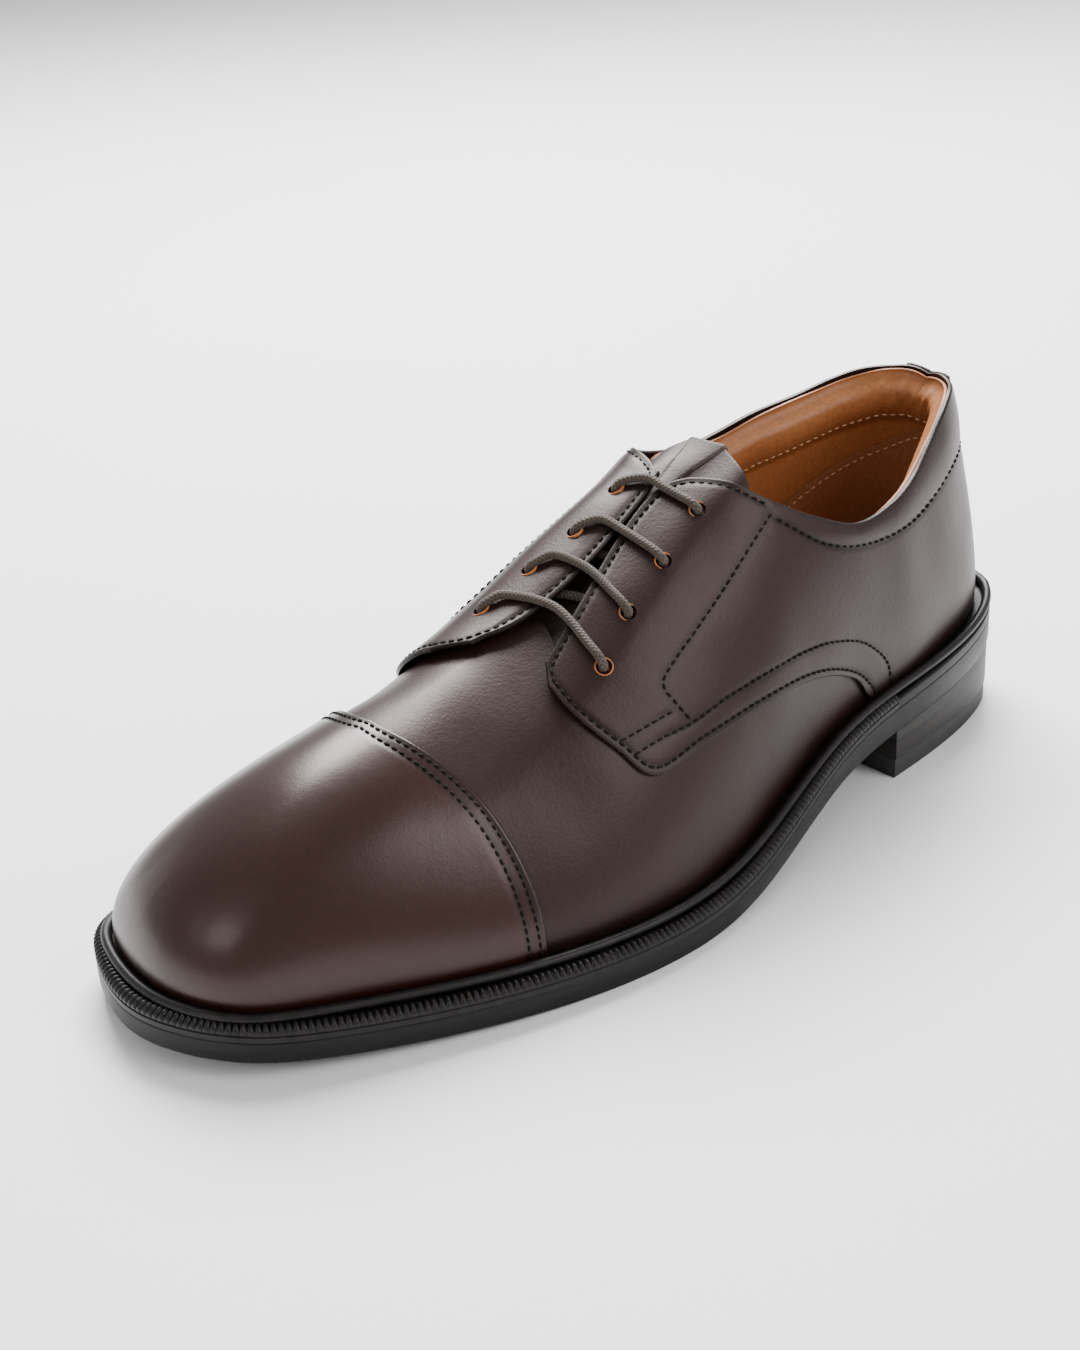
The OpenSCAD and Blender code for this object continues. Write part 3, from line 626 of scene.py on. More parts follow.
plain("thread", (3000, 2), (0.3, (.003, .002, .002)), (0.7, (.009, .006, .0055)), 0.7, 0.12)
plain("pale_thread", (3000, 2), (0.3, (.42, .26, .13)), (0.7, (.62, .42, .24)), 0.7)
nt, b = plain("steel", (300, 3, (1, 12, 1)), (0.3, (.4, .41, .42)), (0.7, (.62, .63, .64)), 0.35)
feed(nt, b, {"Metallic": 1.0})
plain("aglet", (400, 3), (0.3, (.02, .015, .012)), (0.7, (.04, .03, .025)), 0.25)
plain("pale_floor", (3, 2), (0.3, (.86,) * 3), (0.7, (.88,) * 3), 0.6)
nt, b = plain("welt_strip", (400, 4), (0.3, (.004, .0032, .003)), (0.75, (.012, .0098, .009)), 0.42, 0.25)
bumps(nt, b, (noise(nt, 1500, 3), 0.3, 0.1))
nt, b = plain("heel_rubber", (500, 4), (0.3, (.007,) * 3), (0.75, (.018,) * 3), 0.62)
bumps(nt, b, (noise(nt, 1200, 3), 0.4, 0.12))
nt, b = plain("cork", (700, 6), (0.35, (.14, .07, .03)), (0.6, (.5, .33, .18)), 0.9)
bumps(nt, b, (noise(nt, 700, 5), 0.6, 0.4))
nt, b = plain("foam", (1500, 4), (0.3, (.55, .47, .33)), (0.7, (.75, .68, .52)), 0.95)
bumps(nt, b, (grain(nt, 1400), 0.6, 0.3))

nt, b = material("sole_edge")
streak = noise(nt, 60, 6, (1, 1, 9))
feed(nt, b, {"Base Color": ramp(nt, streak, (0.3, (.004, .0035, .0034)), (0.75, (.010, .0088, .0084))),
             "Roughness": ramp(nt, noise(nt, 45, 5), (0.3, (.34,) * 3), (0.7, (.5,) * 3)),
             "Specular IOR Level": 0.2})
bumps(nt, b, (streak, 0.2, 0.3), (noise(nt, 900, 3), 0.15, 0.08))

nt, b = material("heel_stack")
streak = noise(nt, 26, 7, (1, 1, 26), 0.65)
lifts = node(nt, "TexWave", {"Vector": place_of(nt), "Scale": 52.0, "Distortion": 1.2, "Detail": 3.0},
             bands_direction="Z").outputs["Fac"]
colour = mix(nt, ramp(nt, lifts, (0.0, WHITE), (0.09, BLACK)),
             ramp(nt, streak, (0.32, (.006, .0052, .0048)), (0.7, (.024, .021, .019))), (.005, .0045, .0045))
feed(nt, b, {"Base Color": colour, "Roughness": 0.46, "Specular IOR Level": 0.25})
bumps(nt, b, (streak, 0.5, 0.25), (lifts, 0.25, 0.15))

nt, b = material("lace_cord")
TURN, STRANDS, TWIST = 6.2832, 5, 9
around = node(nt, "UVMap", {}).outputs["UV"]
strands_and_shade = []
for way in (1, -1):
    phase = node(nt, "VectorMath", {0: around, 1: (way * STRANDS * TURN, TURN * TWIST, 0)},
                 operation="DOT_PRODUCT")
    strands_and_shade.append(node(nt, "Math", {0: phase.outputs["Value"]}, operation="SINE").outputs[0])
strands_and_shade = node(nt, "Math", {0: strands_and_shade[0], 1: strands_and_shade[1]}, operation="MAXIMUM").outputs[0]
# painted shade: the colour ramp darkens the cord in the hollows between its braided strands
colour = ramp(nt, node(nt, "MapRange", {0: strands_and_shade, 1: -1}).outputs[0], (0.25, (.020, .0135, .0100)),
              (0.8, (.062, .044, .032)))
colour = mix(nt, ramp(nt, noise(nt, 1800, 4), (0.4, BLACK), (0.75, (.6,) * 3)), colour, (.095, .071, .054))
feed(nt, b, {"Base Color": colour, "Roughness": 0.6, "Sheen Weight": 0.12, "Specular IOR Level": 0.25})
bumps(nt, b, (strands_and_shade, 0.6, 0.16), (noise(nt, 2500, 3), 0.3, 0.08))

# ---------------------------------------------------------------- sole
def rim(u):
    """Feather line around the shoe, u from 0 at the heel over the outer side to 1 at the toe and back at 2."""
    u = np.mod(u, 2)
    t = np.where(u <= 1, u, 2 - u) * LAST
    return np.where((u <= 1)[..., None], section(1, t)[..., :4], section(-1, t)[..., :4])


SOLE_DEPTH, HEEL_EXTRA = 9.6, 1.9    # from the feather line down, and what is added under the heel
HEEL = 73.0                          # s at the front face of the heel
HEEL_TIP = 6.0                       # thickness of the heel's top piece
GLUE = 0.05                          # play between glued layers
WELT_DEPTH = 3.6
RIB_PITCH = 1.75
SEAT_T = np.linspace(0, 1, 400)
SEAT = rim(SEAT_T)


def seat_z(y):
    """Height of the feather line at y."""
    return np.interp(MID_S - y, SEAT[:, 1], SEAT[:, 2])


def t_at(y):
    return np.interp(MID_S - y, SEAT[:, 1], SEAT_T * LAST)


def rim_point(u, d, edge=0.0):
    """Plan position at distance d outside the feather line plus edge times the sole's own overhang."""
    e = 0.004
    q, a, b = rim(u), rim(u + e), rim(u - e)
    n = np.stack([a[..., 1] - b[..., 1], -(a[..., 0] - b[..., 0])], -1)
    n /= np.linalg.norm(n, axis=-1, keepdims=True)
    p = q[..., :2] + (np.asarray(d + edge * q[..., 3]))[..., None] * n
    return np.stack([p[..., 0] - MID_X, MID_S - p[..., 1]], -1)


def under_sole(y):
    """Height of the sole's underside; the sole is thicker under the heel."""
    return seat_z(y) - SOLE_DEPTH - HEEL_EXTRA * (1 - ease((t_at(y) - 3) / 2))


def reach(side, d, edge, to, steps):
    """Share of one side's rim, from the heel, at which s first reaches a length."""
    k = np.linspace(0, 1, steps)
    return k[np.argmax(MID_S - rim_point(k if side > 0 else 2 - k, d, edge)[:, 1] >= to)]


def slab(name, d, edge, top, bottom, material, heel_to=None, corner=0.8, stations=150, across=14):
    """Solid between two heights inside the sole's outline, with rounded corners; heel_to cuts it at that s."""
    f = np.linspace(0, 1, stations) if heel_to else 0.5 - 0.5 * np.cos(np.linspace(0, math.pi, stations))
    outer, inner = (f * (reach(side, d, edge, heel_to, 1200) if heel_to else 1.0) for side in (1, -1))
    inner = 2 - inner
    prof = [(-corner * (1 - math.sin(a)), -corner * (1 - math.cos(a))) for a in np.linspace(0, math.pi / 2, 5)]

    def at(u, inward, base, dz):
        p = rim_point(u, d + inward, edge)
        if heel_to is not None:
            p[:, 1] = np.maximum(p[:, 1], MID_S - heel_to)
        return np.concatenate([p, np.maximum(base(p[:, 1]) + dz, 0.0)[:, None]], 1)

    def span(a, b, base):
        out = []
        for k in range(1, across):
            p = a + (b - a) * k / across
            p[:, 2] = np.maximum(base(p[:, 1]), 0.0)
            out.append(p)
        return out
    rows = [at(outer, inward, top, dz) for inward, dz in prof]
    rows += [at(outer, inward, bottom, -dz) for inward, dz in reversed(prof)]
    back = [at(inner, inward, bottom, -dz) for inward, dz in prof]
    back += [at(inner, inward, top, dz) for inward, dz in reversed(prof)]
    g = np.stack(rows + span(rows[-1], back[0], bottom) + back + span(back[-1], rows[0], top), 1)
    n, m = g.shape[:2]
    faces = bands(n, m)
    if heel_to is not None:
        faces.append(list(range((n - 1) * m, n * m)))
    obj = new_piece(name, g.reshape(-1, 3), faces, material)
    bm = bmesh.new()
    bm.from_mesh(obj.data)
    bmesh.ops.remove_doubles(bm, verts=bm.verts, dist=2e-6)
    bmesh.ops.recalc_face_normals(bm, faces=bm.faces)
    bm.to_mesh(obj.data)
    bm.free()
    obj.data.set_sharp_from_angle(angle=math.radians(50))
    return obj


def strip(name, profile, material, start, end, count):
    """Strip swept along the sole's edge; profile(u) gives rows of distance outside the feather line, share of
    the sole's own overhang and height."""
    closed = end - start >= 2
    u = np.linspace(start, end, count, endpoint=not closed)
    rows = []
    for d, edge, z in profile(u):
        p = rim_point(u, np.broadcast_to(d, u.shape), np.broadcast_to(edge, u.shape))
        rows.append(np.concatenate([p, (seat_z(p[:, 1]) + z)[:, None]], 1))
    g = np.stack(rows, 1)
    n, m = g.shape[:2]
    faces = bands(n, m, closed=closed)
    if not closed:
        faces += [list(range(m)), list(range((n - 1) * m, n * m))[::-1]]
    return new_piece(name, g.reshape(-1, 3), faces, material)


HEEL_U = [reach(1, 0.0, 1.0, HEEL, 2000), 2 - reach(-1, 0.0, 1.0, HEEL, 2000)]
RIB_U = np.linspace(0, 2, 3000)
RIB_RUN = running(rim_point(RIB_U, 6.0))


def ribs(u):
    """Height of the welt's ribs, from 0 to 1."""
    phase = np.interp(u, RIB_U, RIB_RUN) / RIB_PITCH
    return np.abs(np.sin(np.pi * phase)) ** 0.7


def welt_profile(u):
    """Ribbed top, then the two grooves of the welt's outer face."""
    r = ribs(u)
    return [(-6, 0, -WELT_DEPTH), (-6, 0, -0.6), (4.6, 0, -0.6), (5.2, 0, -0.35 + 0.25 * r),
            (-2.9, 1, -0.25 + 0.8 * r), (-1.9, 1, -0.2 + 1.05 * r), (-0.9, 1, -0.5 + 0.95 * r),
            (-0.25 + 0.25 * r, 1, -0.95 + 0.45 * r), (0.0, 1, -1.5), (-0.35, 1, -1.75), (-0.35, 1, -1.95),
            (0.0, 1, -2.2), (0.0, 1, -WELT_DEPTH)]


def rand_profile(u):
    return [(-6, 0, -WELT_DEPTH), (-6, 0, -0.6), (4.6, 0, -0.6), (-1.4, 1, -0.5), (-0.6, 1, -0.55),
            (-0.15, 1, -0.8), (0, 1, -1.3), (0, 1, -WELT_DEPTH)]


def bead_profile(u):
    a = np.linspace(0, 2 * np.pi, 14, endpoint=False)
    return [(3.7 + 1.45 * math.cos(x), 0, 1.0 + 1.4 * math.sin(x)) for x in a]


pieces = {}


def keep(obj, node_name=None):
    """Files a finished piece and hides the CAD node it replaces."""
    pieces[obj.name] = obj
    if node_name:
        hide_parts(node_name)


keep(slab("outsole_body", 0, 1, lambda y: seat_z(y) - WELT_DEPTH - GLUE, under_sole, "sole_edge", corner=0.7,
          stations=260), "outsole")
keep(strip("welt_ribbed", welt_profile, "welt_strip", *HEEL_U, 3000), "welt")
keep(strip("heel_ledge", rand_profile, "sole_edge", HEEL_U[1] - 2, HEEL_U[0], 500), "heel_rand")
keep(strip("bead_roll", bead_profile, "welt_strip", 0, 2, 900), "welt_bead")
keep(slab("heel_lifts", -0.4, 1, lambda y: under_sole(y) - GLUE, lambda y: HEEL_TIP + GLUE + 0 * y,
          "heel_stack", heel_to=HEEL, corner=0.25, stations=120), "heel_block")
keep(slab("heel_tip", -0.7, 1, lambda y: HEEL_TIP + 0 * y, lambda y: 0 * y, "heel_rubber", heel_to=HEEL,
          corner=0.5, stations=120), "heel_top_piece")
keep(slab("cork_bed", -7.4, 0, lambda y: seat_z(y) - 0.7, lambda y: seat_z(y) - WELT_DEPTH, "cork",
          corner=0.3), "cork_filler")
keep(slab("insole_sheet", -5.2, 0, lambda y: seat_z(y) + 1.7, lambda y: seat_z(y) - 0.4, "insole_hide",
          corner=0.3), "insole_board")


def sock_under(y):
    """Underside of the sock, raised over the heel pad."""
    return seat_z(y) + 1.9 + 2.2 * (1 - ease((t_at(y) - 3) / 0.6))


keep(slab("heel_cushion", -8, 0, lambda y: seat_z(y) + 4.0, lambda y: seat_z(y) + 1.8, "foam", heel_to=56,
          corner=0.6, stations=80), "heel_pad")
keep(slab("sock_sheet", -6.4, 0, lambda y: sock_under(y) + 1.1, sock_under, "tan_lining", corner=0.3,
          stations=200, across=24), "sock_lining")

# ---------------------------------------------------------------- seams
def inset(line, dist, toward):
    """Line dist mm inside an edge of the quarter, with its normals; toward is a (t, w) inside the piece."""
    p, nrm = on_skin(line, quarter_out)
    inward = np.cross(nrm, np.gradient(p, axis=0))
    inward /= np.linalg.norm(inward, axis=1, keepdims=True)
    goal, _ = skin(*toward, 0.0)
    if np.sum((goal - p) * inward) < 0:
        inward = -inward
    q = p + dist * inward
    ok = near(q, [p]) > 0.94 * dist
    return q[ok], nrm[ok]


def flip(line):
    """The same pattern line on the inner side."""
    return [[t, 2 - v] for t, v in line]


def seam_rows(way, low, top, inside, lines):
    """Stitch rows of one quarter: two along its edge, then those on the given pattern lines."""
    rows = {"low": inset(way(low[7:]), 1.9, inside[0]),
            "front": inset(way([low[-1]] + top[:8:-1]), 1.9, inside[1])}
    for name, line in lines.items():
        rows[name] = on_skin(way(line), quarter_out)
    return rows


w = np.linspace(0.03, 1.97, 160)
cap_rows = [skin(cap_seam(w) + ahead, w, np.full(w.shape, OVER_VAMP)) for ahead in (0.05, 0.125)]
OUTER_COLLAR = [[4.38, .715], [4.22, .67], [4.02, .615], [3.8, .575], [3.53, .55], [3.22, .54], [2.82, .55],
                [2.38, .59], [1.88, .64], [1.3, .67], [.7, .67], [0.02, .66]]
INNER_COLLAR = [[4.38, .72], [4.1, .67], [3.75, .64], [3.3, .66], [2.8, .68], [2.2, .7], [1.5, .705],
                [.7, .68], [0.02, .66]]
OUTER_FACING = [[4.4, .73], [4.63, .69], [4.95, .64], [5.32, .60], [5.53, .58], [5.69, .555], [5.62, .51],
                [5.5, .45]]
INNER_FACING = [[4.42, .75], [4.75, .765], [5.2, .775], [5.7, .775], [6.1, .77], [6.33, .74], [6.3, .66],
                [6.15, .56], [6.05, .48]]
BOTH_SECOND = [[5.48, .44], [5.17, .435], [4.87, .42], [4.57, .4], [4.28, .375], [4, .34], [3.67, .27],
               [3.42, .17], [3.32, .1], [3.28, .03]]
OUTER_SECOND = [[6.03, .46], [5.77, .455]] + BOTH_SECOND
INNER_SECOND = [[6.35, .5], [5.95, .46]] + BOTH_SECOND
OUTER_SHORT = [[6.12, .505], [5.95, .5], [5.78, .495], [5.64, .49]]

OUTER_ROWS = seam_rows(list, OUTER_LOW, OUTER_TOP, [(5.0, .6), (5.4, .75)],
                       {"second": OUTER_SECOND, "short": OUTER_SHORT, "facing": OUTER_FACING,
                        "collar": OUTER_COLLAR})
INNER_ROWS = seam_rows(flip, INNER_LOW, INNER_TOP, [(5.0, 1.4), (5.6, 1.2)],
                       {"second": INNER_SECOND, "facing": INNER_FACING, "collar": INNER_COLLAR})

# ---------------------------------------------------------------- upper
def spread(rear, front, rows):
    """Grid of (t, w) between two lines with the same number of points."""
    f = np.linspace(0, 1, rows)[:, None, None]
    return rear[None] * (1 - f) + front[None] * f


def collar_puff(line):
    """Swelling of the quarter between its collar seam and the topline."""
    seam = np.array(line)[::-1]

    def puff(t, w, flat):
        low = np.interp(t, *seam.T)
        top = topline(np.where(w > 1, -t, t))
        x = np.clip((side_v(w) - low) / np.maximum(top - low, 0.02), 0, 1)
        return 0.7 * np.sin(np.pi * x) * ease((4.3 - t) / 0.6)
    return puff


def eyelets(side):
    """t, w, point and normal on the form of each eyelet of one flap."""
    for pair in EYELETS:
        t, w = map(np.array, pair[0 if side > 0 else 1])
        yield (t, w, *skin(t, w, 0.0))


def cut_holes(obj, side):
    """Punches the eyelets through a flap, cutting along the surface normal."""
    for t, w, p, n in eyelets(side):
        bm = bmesh.new()
        turn = Vector(n).to_track_quat("Z", "Y").to_matrix().to_4x4()
        bmesh.ops.create_cone(bm, cap_ends=True, segments=HOLE_SIDES, radius1=HOLE_R / 1000, depth=0.02,
                              radius2=HOLE_R / 1000, matrix=Matrix.Translation(Vector(p / 1000)) @ turn)
        mesh = bpy.data.meshes.new("punch")
        bm.to_mesh(mesh)
        bm.free()
        punch = bpy.data.objects.new("punch", mesh)
        bpy.context.scene.collection.objects.link(punch)
        cut = obj.modifiers.new("punch", "BOOLEAN")
        cut.operation, cut.solver, cut.object = "DIFFERENCE", "EXACT", punch
        bpy.context.view_layer.update()
        done = bpy.data.meshes.new_from_object(obj.evaluated_get(bpy.context.evaluated_depsgraph_get()))
        obj.modifiers.clear()
        obj.data = done
        bpy.data.objects.remove(punch)
    obj.data.name = obj.name
    return obj


def hole_walls(name, side):
    """Raw leather showing inside each punched hole."""
    pts, faces = [], []
    for t, w, p, n in eyelets(side):
        top = float(quarter_out(t, w))
        u = np.cross(n, [0, 0, 1.0])
        u /= np.linalg.norm(u)
        v = np.cross(n, u)
        faces += turned(bands(5, HOLE_SIDES, len(pts), closed=True))
        for r, h in ((2.16, -3.2), (2.16, -.02), (2.34, .07), (2.5, .03), (2.45, -3.2)):
            for k in range(HOLE_SIDES):
                a = 2 * math.pi * k / HOLE_SIDES
                pts.append(p + n * (top + h) + r * (math.cos(a) * u + math.sin(a) * v))
    return new_piece(name, np.array(pts), faces, "raw_edge")


VAMP_REAR = [[3.3, 0], [3.65, .22], [4.3, .38], [5.1, .46], [5.8, .5], [6.28, .58], [6.43, .7], [6.47, .86],
             [6.62, 1], [6.85, 1.1], [6.8, 1.24], [6.5, 1.42], [5.9, 1.5], [5.1, 1.54], [4.3, 1.62],
             [3.65, 1.78], [3.3, 2]]
rear = smooth(VAMP_REAR, 12)
w = np.linspace(0, 2, len(rear))
keep(sheet("vamp_skin", spread(rear, np.stack([cap_seam(w) + 0.35, w], -1), 90), 0, -LEATHER, "upper_leather",
           lumps=0.12, open_edges=False), "vamp")

w = np.linspace(0, 2, 221)
f = graded(110, 1 / 90)[:, None]
edge = cap_seam(w)[None]
cap_grid = np.stack([edge + (LAST - edge) * f, np.broadcast_to(w, (len(f), len(w)))], -1)
keep(sheet("cap_skin", cap_grid, OVER_VAMP, GAP, "cap_leather", zip_end=True, seams=[r[0] for r in cap_rows]),
     "toe_cap")
w, edge = w[::4], edge[:, ::4] + 0.8
f = np.linspace(0, 1, 30)[:, None]
puff_grid = np.stack([edge + (LAST - edge) * f, np.broadcast_to(w, (len(f), len(w)))], -1)
keep(sheet("toe_stiffener", puff_grid, 0, -LEATHER, "counter_board", zip_end=True), "toe_puff")
LINING_REAR = [[5.1, 0], [5.1, .14], [5.1, .28], [5.2, .42], [5.8, .52], [6.6, .62], [6.9, .75], [6.95, .88],
               [6.95, 1]]
rear = smooth(LINING_REAR + flip(LINING_REAR)[-2::-1], 8)
front = np.stack([np.full(len(rear), float(LAST)), np.linspace(0, 2, len(rear))], -1)
keep(sheet("vamp_lining_skin", spread(rear, front, 70), -LEATHER - GAP - .15, -LEATHER - GAP - LINING,
           "tan_lining", zip_end=True), "vamp_lining")
FACING_LOW = [[4.6, .755], [4.85, .73], [5.1, .7], [5.4, .665], [5.7, .63], [6, .6], [6.25, .645]]
FACING_TOP = [[4.8, .82], [4.98, .875], [5.25, .925], [5.5, .92], [5.8, .895], [6.1, .85], [6.35, .79]]
INNER_FACING_LOW = [[4.85, .8], [5, .79], [5.2, .785], [5.6, .78], [6, .78], [6.4, .785], [6.85, .8]]
INNER_FACING_TOP = [[5, .84], [5.15, .9], [5.38, .97], [5.7, 1.025], [6.1, 1.04], [6.5, 1.035], [6.9, .98]]


def behind_quarter(t, w):
    return quarter_inner(t, w) - GAP


def facing_out(t, w):
    return quarter_inner(t, w) - FACING_GAP


FLAPS = ((1, "outer", "lateral", ruled(OUTER_LOW, OUTER_TOP, 170, 74), OUTER_ROWS, OUTER_COLLAR,
          ruled(FACING_LOW, FACING_TOP, 60, 24, 70, 25)),
         (-1, "inner", "medial", mirrored(ruled(INNER_LOW, INNER_TOP, 170, 74)), INNER_ROWS, INNER_COLLAR,
          mirrored(ruled(INNER_FACING_LOW, INNER_FACING_TOP, 60, 24, 70, 25))))
for side, own, cad, grid, rows, collar, _ in FLAPS:
    keep(cut_holes(sheet("quarter_" + own + "_side", grid, quarter_out, quarter_inner, "upper_leather",
                         seams=[r[0] for r in rows.values()], lumps=0.1, extra=collar_puff(collar)), side),
         "quarter_" + cad)
for side, own, *_ in FLAPS:
    keep(hole_walls("eyelet_walls_" + own, side), None)
for side, own, cad, *_, grid in FLAPS:
    keep(cut_holes(sheet("facing_" + own + "_side", grid, facing_out, lambda t, w: facing_out(t, w) - FACING,
                         "tan_lining"), side), "facing_" + cad)


def heel_patch(far, columns, rows, low, top):
    """Grid around the heel, from -far to far, between two heights that depend on t."""
    t = np.linspace(-far, far, columns)[None, :]
    f = graded(rows, 1 / 60)[:, None]
    return np.stack([np.broadcast_to(t, (len(f), columns)), low(t) + (top(t) - low(t)) * f], -1)


stay_edges = [on_skin([[t, v] for v in (.06, .3, .6, .82)], 1.15) for t in (.66, -.66)]
keep(sheet("back_strip", heel_patch(.7, 60, 60, lambda t: 0.02 + 0 * t, topline), 1.1, .25, "upper_leather",
           seams=[r[0] for r in stay_edges]), "back_stay")
LINING_T = [0, .6, 1.2, 1.8, 2.4, 3, 3.6, 4.2]


def lining_inner(t, w):
    return lining_out(t, w) - LINING


def lining_row(side):
    """Seam inside the collar, under the padding."""
    t = np.linspace(0.02, 3.9, 60)
    v = topline(side * t) - .155
    w = v if side > 0 else 2 - v
    return skin(t, w, lining_inner(t, w))


def wrinkles(t, w, flat):
    x = (side_v(w) - (topline(t) - .07)) / .05
    folds = np.sin(flat[..., 0] * 0.9 + 2 * np.sin(flat[..., 2] * .5))
    return 0.35 * np.exp(-x * x) * folds * ease((1.4 - t) / 0.8)


def wrinkled(t, w):
    return lining_inner(t, w) - wrinkles(t, w, skin(t, w, 0.0)[0])


for side, name in ((1, "lateral"), (-1, "medial")):
    low = [[t, 0] for t in LINING_T] + [[5, 0]]
    top = [[t, float(topline(side * t)) - .008] for t in LINING_T] + [[4.6, .7]]
    g = ruled(low, top, 110, 80)
    keep(sheet("lining_" + name + "_skin", g if side > 0 else mirrored(g), lining_out, wrinkled, "tan_lining"),
         "lining_" + name)


def counter_top(t):
    return np.minimum(.56, topline(t) - PAD_DROP - .03)


pad_grid = heel_patch(4.2, 160, 16, lambda t: topline(t) - PAD_DROP, lambda t: topline(t) - .08)
foam = sheet("collar_foam", pad_grid, behind_quarter, lambda t, w: lining_low(t, w) + GAP + .15, "foam")
keep(foam, "collar_padding")
keep(sheet("counter_shell", heel_patch(3, 80, 30, lambda t: 0.02 + 0 * t, counter_top), behind_quarter,
           lambda t, w: behind_quarter(t, w) - COUNTER, "counter_board"), "heel_counter")


def grip_top(t):
    return .08 + (float(topline(0)) - PAD_DROP - .09) * np.sqrt(1 - (t / 3.4) ** 2)


keep(sheet("grip_patch", heel_patch(3.2, 120, 50, lambda t: .07 + 0 * t, grip_top),
           lambda t, w: lining_inner(t, w) - .35, lambda t, w: lining_inner(t, w) - 1.05, "grip_suede"),
     "heel_grip")

TONGUE_END = [[.69, 4.57], [.75, 4.5], [.8, 4.46], [.86, 4.46], [.92, 4.5], [1, 4.54], [1.08, 4.57],
              [1.15, 4.62], [1.23, 4.75]]
TONGUE_LIFT = [[.69, .3], [.77, .8], [.83, .9], [.88, .7], [.94, .1], [1, -.8], [1.06, -1.4], [1.13, -1],
               [1.23, 0]]


def evened(points, w):
    """Value of a curve at w, averaged over a short span so that it has no corners."""
    q = smooth(points, 10)
    return sum(np.interp(w + d, *q.T) for d in np.linspace(-.05, .05, 11)) / 11


def tongue_top(t, w):
    """Outer offset of the tongue, which curls a little at its free end."""
    return RISE * ease((side_v(w) - .5) / .35) - 4.45 + evened(TONGUE_LIFT, w) * ease((4.95 - t) / .5)


w = .96 + .27 * (graded(60, 1 / 50)[None, :] * 2 - 1)
edge = evened(TONGUE_END, w)
f = graded(80, 1 / 75)[:, None]
tongue_grid = np.stack([edge + (6.75 - edge) * f, np.broadcast_to(w, (len(f), w.shape[1]))], -1)
keep(sheet("tongue_skin", tongue_grid, tongue_top, lambda t, w: tongue_top(t, w) - 1.3, "tongue_leather"),
     "tongue")
keep(sheet("tongue_back", tongue_grid, lambda t, w: tongue_top(t, w) - 1.5,
           lambda t, w: tongue_top(t, w) - 2.4, "tan_lining"), "tongue_lining")

# ---------------------------------------------------------------- lace
UNDER, LEAN = -4.3, 0.06    # height under the flaps, and how far past an eyelet the lace has risen


def lace_at(t, w, up):
    t, w = np.array(t, float), np.array(w, float)
    return skin(t, w, quarter_out(t, w) + up)[0]


def through(e, goal):
    """Rise through an eyelet and set off towards the eyelet on the other flap."""
    t, w = e
    lean = LEAN if goal[1] > w else -LEAN
    slope = (goal[0] - t) / (goal[1] - w)
    return [lace_at(t, w + .3 * lean, UNDER + .2), lace_at(t, w, -3.1), lace_at(t, w, 0),
            lace_at(t + .35 * lean * slope, w + .35 * lean, 1.3), lace_at(t + lean * slope, w + lean, 1.35)]


def bar(pair):
    a, b = pair
    return through(a, b) + [lace_at((a[0] + b[0]) / 2, (a[1] + b[1]) / 2, 1.3)] + through(b, a)[::-1]


def slant(a, b):
    return [lace_at(a[0] + (b[0] - a[0]) * k / 4, a[1] + (b[1] - a[1]) * k / 4, UNDER) for k in (1, 2, 3)]


TAIL_OUTER = [[5.2, .68], [5.45, .655], [5.8, .63], [6.05, .645]]
TAIL_INNER = [[5.34, 1.08], [5.3, 1.17], [5.45, 1.25], [5.7, 1.295], [6, 1.31]]
lace_path = [lace_at(*p, UNDER) for p in TAIL_OUTER]
for k, pair in enumerate(EYELETS):
    b = bar(pair)
    lace_path += b[1 if k == 0 else 0:-1 if k == 3 else None]
    if k < 3:
        lace_path += slant(pair[1], EYELETS[k + 1][0])
lace_path += [lace_at(*p, UNDER) for p in TAIL_INNER]
lace_line = resample(smooth(lace_path, 14), 0.7)
centre = np.mean([(b[4] + b[-5]) / 2 for b in map(bar, EYELETS)], axis=0)
along = lace_at(*np.mean(EYELETS[3], axis=0), 2.3) - lace_at(*np.mean(EYELETS[0], axis=0), 2.3)
along /= np.linalg.norm(along)
across_lace = np.mean([lace_at(*a, 0) - lace_at(*b, 0) for a, b in EYELETS], axis=0)
across_lace -= (across_lace @ along) * along
across_lace /= np.linalg.norm(across_lace)
side_of = (lace_line - centre) @ across_lace > 0
cuts = [0] + [k for k in range(1, len(side_of)) if side_of[k] != side_of[k - 1]] + [len(side_of) - 1]
for name, side in (("lace_run", True), ("lace_run_inner", False)):
    parts = [(a, b) for a, b in zip(cuts[:-1], cuts[1:]) if side_of[(a + b) // 2] == side]
    keep(tubes(name, lace_line, parts, LACE_R, "lace_cord", 16), None)
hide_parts("lace")
TIP_AT = np.array([.3, .4, .8, 3, 9, 12.6, 13.1, 13.3])
TIP_R = [.9, 1.2, 1.32, 1.3, 1.28, 1.25, 1.0, .6]
tips = []
for a, b in ((lace_line[0], lace_line[2]), (lace_line[-1], lace_line[-3])):
    d = (a - b) / np.linalg.norm(a - b)
    tips.append(a + d * TIP_AT[:, None])
for name, tip in zip(("tip_outer", "tip_inner"), tips):
    keep(tubes(name, tip, [(0, len(TIP_R) - 1)], TIP_R, "aglet", 20), None)
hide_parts("aglets")

